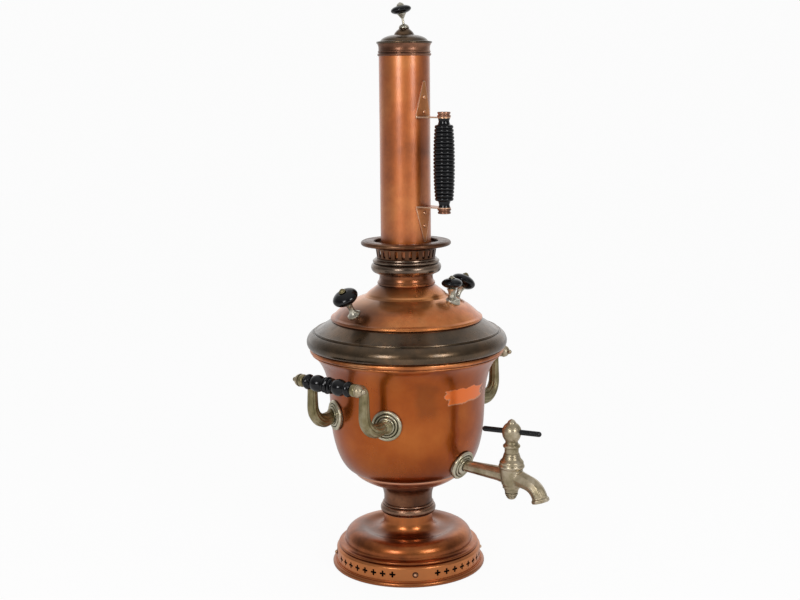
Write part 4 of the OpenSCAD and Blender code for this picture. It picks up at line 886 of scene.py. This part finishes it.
gallery_top, ledge_top = CROWN_FOOT + 14, CROWN_FOOT + 1.2
crown_outline = (
    [(GALLERY_R - GALLERY_TAPER, CROWN_FOOT), (GALLERY_R + 0.2, gallery_top)]
    + curve(*near(GALLERY_R, gallery_top, (1.4, 0.6), (3, 2.4)),
            (CROWN_R - 12, gallery_top + 3.4), (CROWN_R - 6.4, CROWN_TOP - BRIM_BEAD), 8)
    + arc(CROWN_R - BRIM_BEAD / 2, CROWN_TOP - BRIM_BEAD / 2, BRIM_BEAD / 2, -90, 120, 14)
    + near(CROWN_R, CROWN_TOP, (-5.6, -0.6), (-6.4, 0))
    + near(CROWN_HOLE_R, CROWN_TOP, (1, 0), (0, -1), (0, -5))
    + [(GALLERY_R - CROWN_WALL, gallery_top), (GALLERY_R - GALLERY_TAPER - CROWN_WALL, ledge_top),
       (NECK_R - 0.2, ledge_top), (NECK_R - 0.2, CROWN_FOOT), (GALLERY_R - GALLERY_TAPER, CROWN_FOOT)])
crown = turn("crown_sheet", crown_outline, 130)
clear_selection()
bpy.ops.mesh.primitive_cube_add(size=MM, location=(GALLERY_R * MM, 0, (CROWN_FOOT + 1.8 + SLOT_H / 2) * MM))
punch = bpy.context.object
punch.scale = (SLOT_DEPTH, SLOT_W, SLOT_H)
settle(punch)
shape(punch, "BEVEL", width=SLOT_ROUND * MM, segments=3, limit_method="NONE")
punches = [copied(punch, "punch", math.tau * (i + 0.5) / CROWN_SLOTS) for i in range(CROWN_SLOTS)]
bpy.data.objects.remove(punch)
cut(crown, join("punches", *punches))
brown_copper = copper_finish("brown_copper", (72, 46, 30), (108, 70, 46), (142, 100, 72),
                             coat=0.2, stains=0.5)
finished(smooth(tidy_skin(crown), 32), brown_copper, "crown", "copper", "crown")

# -----------------------------
# Draught pipe: plain copper tube that smoke has warmed to a soft brown. Two
# riveted plates hold a black ringed grip on an iron rod with copper ferrules.
PIPE_TURN = math.radians(-93.5)
GRIP_REACH, GRIP_LEVEL, GRIP_LONG, GRIP_R = 73.0, 523.6, 121.0, 14.8
GRIP_RINGS, RING_STEPS, GRIP_GROOVE, GRIP_NECK = 21, 6, 2.2, 9.0
GRIP_BORE_R, GRIP_SLIMMING = 2.6, 2.2
GRIP_END = [(GRIP_BORE_R, 0), (8.2, 0), (8.0, 1.2), (7.2, GRIP_NECK * 0.45), (8.4, GRIP_NECK - 0.8)]


def painted_edge_highlight(finish, reach, bright):
    """Paint a highlight into a finish along edges that stand out, within a reach in millimetres."""
    n, links, base = reopen(finish)
    rounded = n.new("ShaderNodeBevel")
    fill(rounded, {"Radius": reach * MM})
    face = n.new("ShaderNodeNewGeometry")
    match = n.new("ShaderNodeVectorMath")
    match.operation = "DOT_PRODUCT"
    links.new(rounded.outputs["Normal"], match.inputs[0])
    links.new(face.outputs["Normal"], match.inputs[1])
    edge = ramp(n, links, match.outputs["Value"], [(0.86, 1.0), (0.985, 0.0)])
    links.new(blend(n, links, edge, base.links[0].from_socket, tone(*bright)), base)


pipe_copper = copper_finish("pipe_copper", (150, 76, 30), (200, 108, 46), (218, 134, 68),
                            rough=(0.44, 0.56), dents=0.2, patch=11, stains=0.25, crease_shade_depth=0.3,
                            coat=0.9, coat_rough=0.26)
fill(pipe_copper.node_tree.nodes["Principled BSDF"], {"Coat IOR": 1.7})
ferrule_copper = copper_finish("ferrule_copper", (96, 60, 44), (158, 108, 84), (190, 146, 120))
edge_lit_copper = copper_finish("edge_lit_copper", (172, 102, 58), (222, 146, 90), (242, 180, 130))
# Painted highlight: a pale line along the brackets' edges.
painted_edge_highlight(edge_lit_copper, 2.2, (255, 226, 196))
dress(pipe_copper, "pipe")
dress(edge_lit_copper, "bracket_rivets", "bracket_upper", "bracket_lower")
dress(ferrule_copper, "ferrule_upper", "ferrule_lower")

# The grip's rings are fullest in the middle of its length.
ringed_long = GRIP_LONG - 2 * GRIP_NECK
grip_outline = list(GRIP_END)
for i in range(GRIP_RINGS):
    for step in range(RING_STEPS + 1):
        turned = math.pi * step / RING_STEPS
        share = (i + (1 - math.cos(turned)) / 2) / GRIP_RINGS
        ring_r = GRIP_R - GRIP_SLIMMING * abs(2 * share - 1) ** 2.5
        groove = GRIP_GROOVE * (1 - math.sin(turned) ** 0.8)
        grip_outline.append((ring_r - groove, GRIP_NECK + ringed_long * share))
grip_outline += [(r, GRIP_LONG - z) for r, z in reversed(GRIP_END)] + [(GRIP_BORE_R, 0)]
grip = turn("ringed_grip", grip_outline, 64)
place(grip, (GRIP_REACH * math.cos(PIPE_TURN), GRIP_REACH * math.sin(PIPE_TURN), GRIP_LEVEL))
finished(smooth(grip, 50), black_wood, "chimney", "black_wood", "grip")

# -----------------------------
# Pipe cap: a flared copper skirt under a bronze dome, with a bent nickel
# spindle that holds a small black knob.
CAP_FOOT, CAP_TOP, CAP_BORE, CAP_R, CAP_HOLE_R, CAP_SHEET = 728.6, 745.6, 34.6, 37.0, 20.0, 1.5

cap_copper = copper_finish("cap_copper", (96, 62, 44), (144, 98, 74), (176, 130, 102), stains=0.4)
sleeve_outline = (
    near(CAP_BORE, CAP_FOOT, (0, 0), (1, 0))
    + bead(CAP_BORE + 1, CAP_FOOT + 0.1, CAP_FOOT + 3.8, 1.7, 8)
    + near(CAP_BORE, CAP_FOOT, (1, 4.2))
    + bead(CAP_BORE + 0.9, CAP_FOOT + 4.4, CAP_FOOT + 7.2, 1.1, 8)
    + curve(*near(CAP_BORE, CAP_FOOT, (1, 8), (0.7, 12)), (CAP_BORE + 1.4, CAP_TOP - 2.4),
            (CAP_R, CAP_TOP - 1), 8)
    + [(CAP_R, CAP_TOP), (CAP_HOLE_R, CAP_TOP), (CAP_HOLE_R, CAP_TOP - CAP_SHEET),
       (CAP_BORE, CAP_TOP - CAP_SHEET), (CAP_BORE, CAP_FOOT)])
sleeve = turn("cap_sleeve", sleeve_outline)
finished(smooth(sleeve, 32), cap_copper, "chimney_cap", "copper", "cap_skirt")
dress(dark_bronze, "cap_dome")
dress(bright_nickel, "cap_spindle", "cap_nut")
dress(black_wood, "cap_knob")

# -----------------------------
# Ground: a plain pale sheet that the samovar stands on. It shows as even white
# and still holds a trace of shadow under the foot.
GROUND_SIZE, PAPER_GREY, PAPER_GLOW = 12.0, 0.9, 1.012
CAMERA_SHARE, GLOSSY_SHARE = 0.92, 0.2


def mix_shaders(n, links, share, first, second, output):
    """Send a mix of two shaders to an output."""
    mixer = n.new("ShaderNodeMixShader")
    links.new(share, mixer.inputs["Fac"])
    links.new(first, mixer.inputs[1])
    links.new(second, mixer.inputs[2])
    links.new(mixer.outputs["Shader"], n[output].inputs["Surface"])


clear_selection()
bpy.ops.mesh.primitive_plane_add(size=GROUND_SIZE, location=(0, 0, 0))
ground = bpy.context.object
ground.name = "ground"
paper, n, links, shader = new_finish("paper")
fill(shader, {"Base Color": (PAPER_GREY, PAPER_GREY, PAPER_GREY, 1), "Roughness": 0.9})
glow = n.new("ShaderNodeEmission")
fill(glow, {"Color": (1.0, 1.0, 1.0, 1), "Strength": PAPER_GLOW})
paths = n.new("ShaderNodeLightPath")
seen = math_of(n, links, "MULTIPLY", paths.outputs["Is Camera Ray"], CAMERA_SHARE)
glossy = math_of(n, links, "MULTIPLY", paths.outputs["Is Glossy Ray"], GLOSSY_SHARE)
glowing = math_of(n, links, "MAXIMUM", seen, glossy)
mix_shaders(n, links, glowing, shader.outputs["BSDF"], glow.outputs["Emission"], "Material Output")
ground.data.materials.append(paper)

# -----------------------------
# Light: two small soft boxes in front, one to each side of the camera, and a
# room that is white behind the samovar and dim in front of it and overhead.
CAMERA_TURN = math.radians(-50.0)
BOX_DISTANCE, BOX_HEIGHT, BOX_WIDTH, BOX_TALL = 2.2, 1.05, 0.62, 0.7
AIM_HEIGHT, BACKDROP_GREY = 0.4, 0.97


def soft_box(name, turn_from_camera, power):
    """A rectangular lamp, turned round the samovar from the camera in degrees and aimed at its middle."""
    turn_angle = CAMERA_TURN + math.radians(turn_from_camera)
    lamp = bpy.data.lights.new(name, "AREA")
    lamp.shape = "RECTANGLE"
    lamp.size = BOX_WIDTH
    lamp.size_y = BOX_TALL
    lamp.energy = power
    box = bpy.data.objects.new(name, lamp)
    bpy.context.scene.collection.objects.link(box)
    box.location = (math.sin(turn_angle) * BOX_DISTANCE, -math.cos(turn_angle) * BOX_DISTANCE, BOX_HEIGHT)
    aim = Vector((0, 0, AIM_HEIGHT)) - box.location
    box.rotation_mode = "QUATERNION"
    box.rotation_quaternion = aim.to_track_quat("-Z", "Y")


soft_box("box_left", -26, 13.5)
soft_box("box_right", 38, 11.5)

world = bpy.data.worlds.new("room")
bpy.context.scene.world = world
world.use_nodes = True
n, links = world.node_tree.nodes, world.node_tree.links
room = n["Background"]
where = n.new("ShaderNodeTexCoord")
away = n.new("ShaderNodeVectorMath")
away.operation = "DOT_PRODUCT"
away.inputs[1].default_value = (-math.sin(CAMERA_TURN), math.cos(CAMERA_TURN), 0.0)
links.new(where.outputs["Generated"], away.inputs[0])
depth = n.new("ShaderNodeMapRange")
depth.inputs["From Min"].default_value = -1
depth.inputs["From Max"].default_value = 1
links.new(away.outputs["Value"], depth.inputs["Value"])
behind = ramp(n, links, depth.outputs["Result"],
              [(0.0, 0.17), (0.5, 0.22), (0.66, 0.3), (0.8, 0.6), (0.92, 1.0)])
upwards = n.new("ShaderNodeSeparateXYZ")
links.new(where.outputs["Generated"], upwards.inputs[0])
above = ramp(n, links, upwards.outputs["Z"], [(0.25, 0.16), (0.6, 0.36), (0.95, 0.62)])
links.new(blend(n, links, 1.0, behind, above, "LIGHTEN"), room.inputs["Color"])
backdrop = n.new("ShaderNodeBackground")
fill(backdrop, {"Color": (BACKDROP_GREY, BACKDROP_GREY, BACKDROP_GREY, 1)})
paths = n.new("ShaderNodeLightPath")
mix_shaders(n, links, paths.outputs["Is Camera Ray"], room.outputs["Background"],
            backdrop.outputs["Background"], "World Output")

# -----------------------------
# Camera: it stands at the height of the draught pipe, to the left of the tap,
# and looks slightly down.
CAMERA_DISTANCE, CAMERA_HEIGHT = 1.865, 0.6995
SENSOR_WIDTH, FOCAL_PIXELS, IMAGE_PIXELS = 36.0, 1330, 800
PITCH, YAW, ROLL = math.radians(9.5), math.radians(0.28), math.radians(-0.55)
lens = bpy.data.cameras.new("camera")
lens.sensor_width = SENSOR_WIDTH
lens.lens = FOCAL_PIXELS * SENSOR_WIDTH / IMAGE_PIXELS
camera = bpy.data.objects.new("camera", lens)
bpy.context.scene.collection.objects.link(camera)
stand = (math.sin(CAMERA_TURN) * CAMERA_DISTANCE, -math.cos(CAMERA_TURN) * CAMERA_DISTANCE, CAMERA_HEIGHT)
camera.matrix_world = (
    Matrix.Translation(stand)
    @ Matrix.Rotation(CAMERA_TURN + YAW, 4, "Z")
    @ Matrix.Rotation(math.pi / 2 - PITCH, 4, "X")
    @ Matrix.Rotation(ROLL, 4, "Z"))
bpy.context.scene.camera = camera
bpy.context.scene.view_settings.view_transform = "Standard"
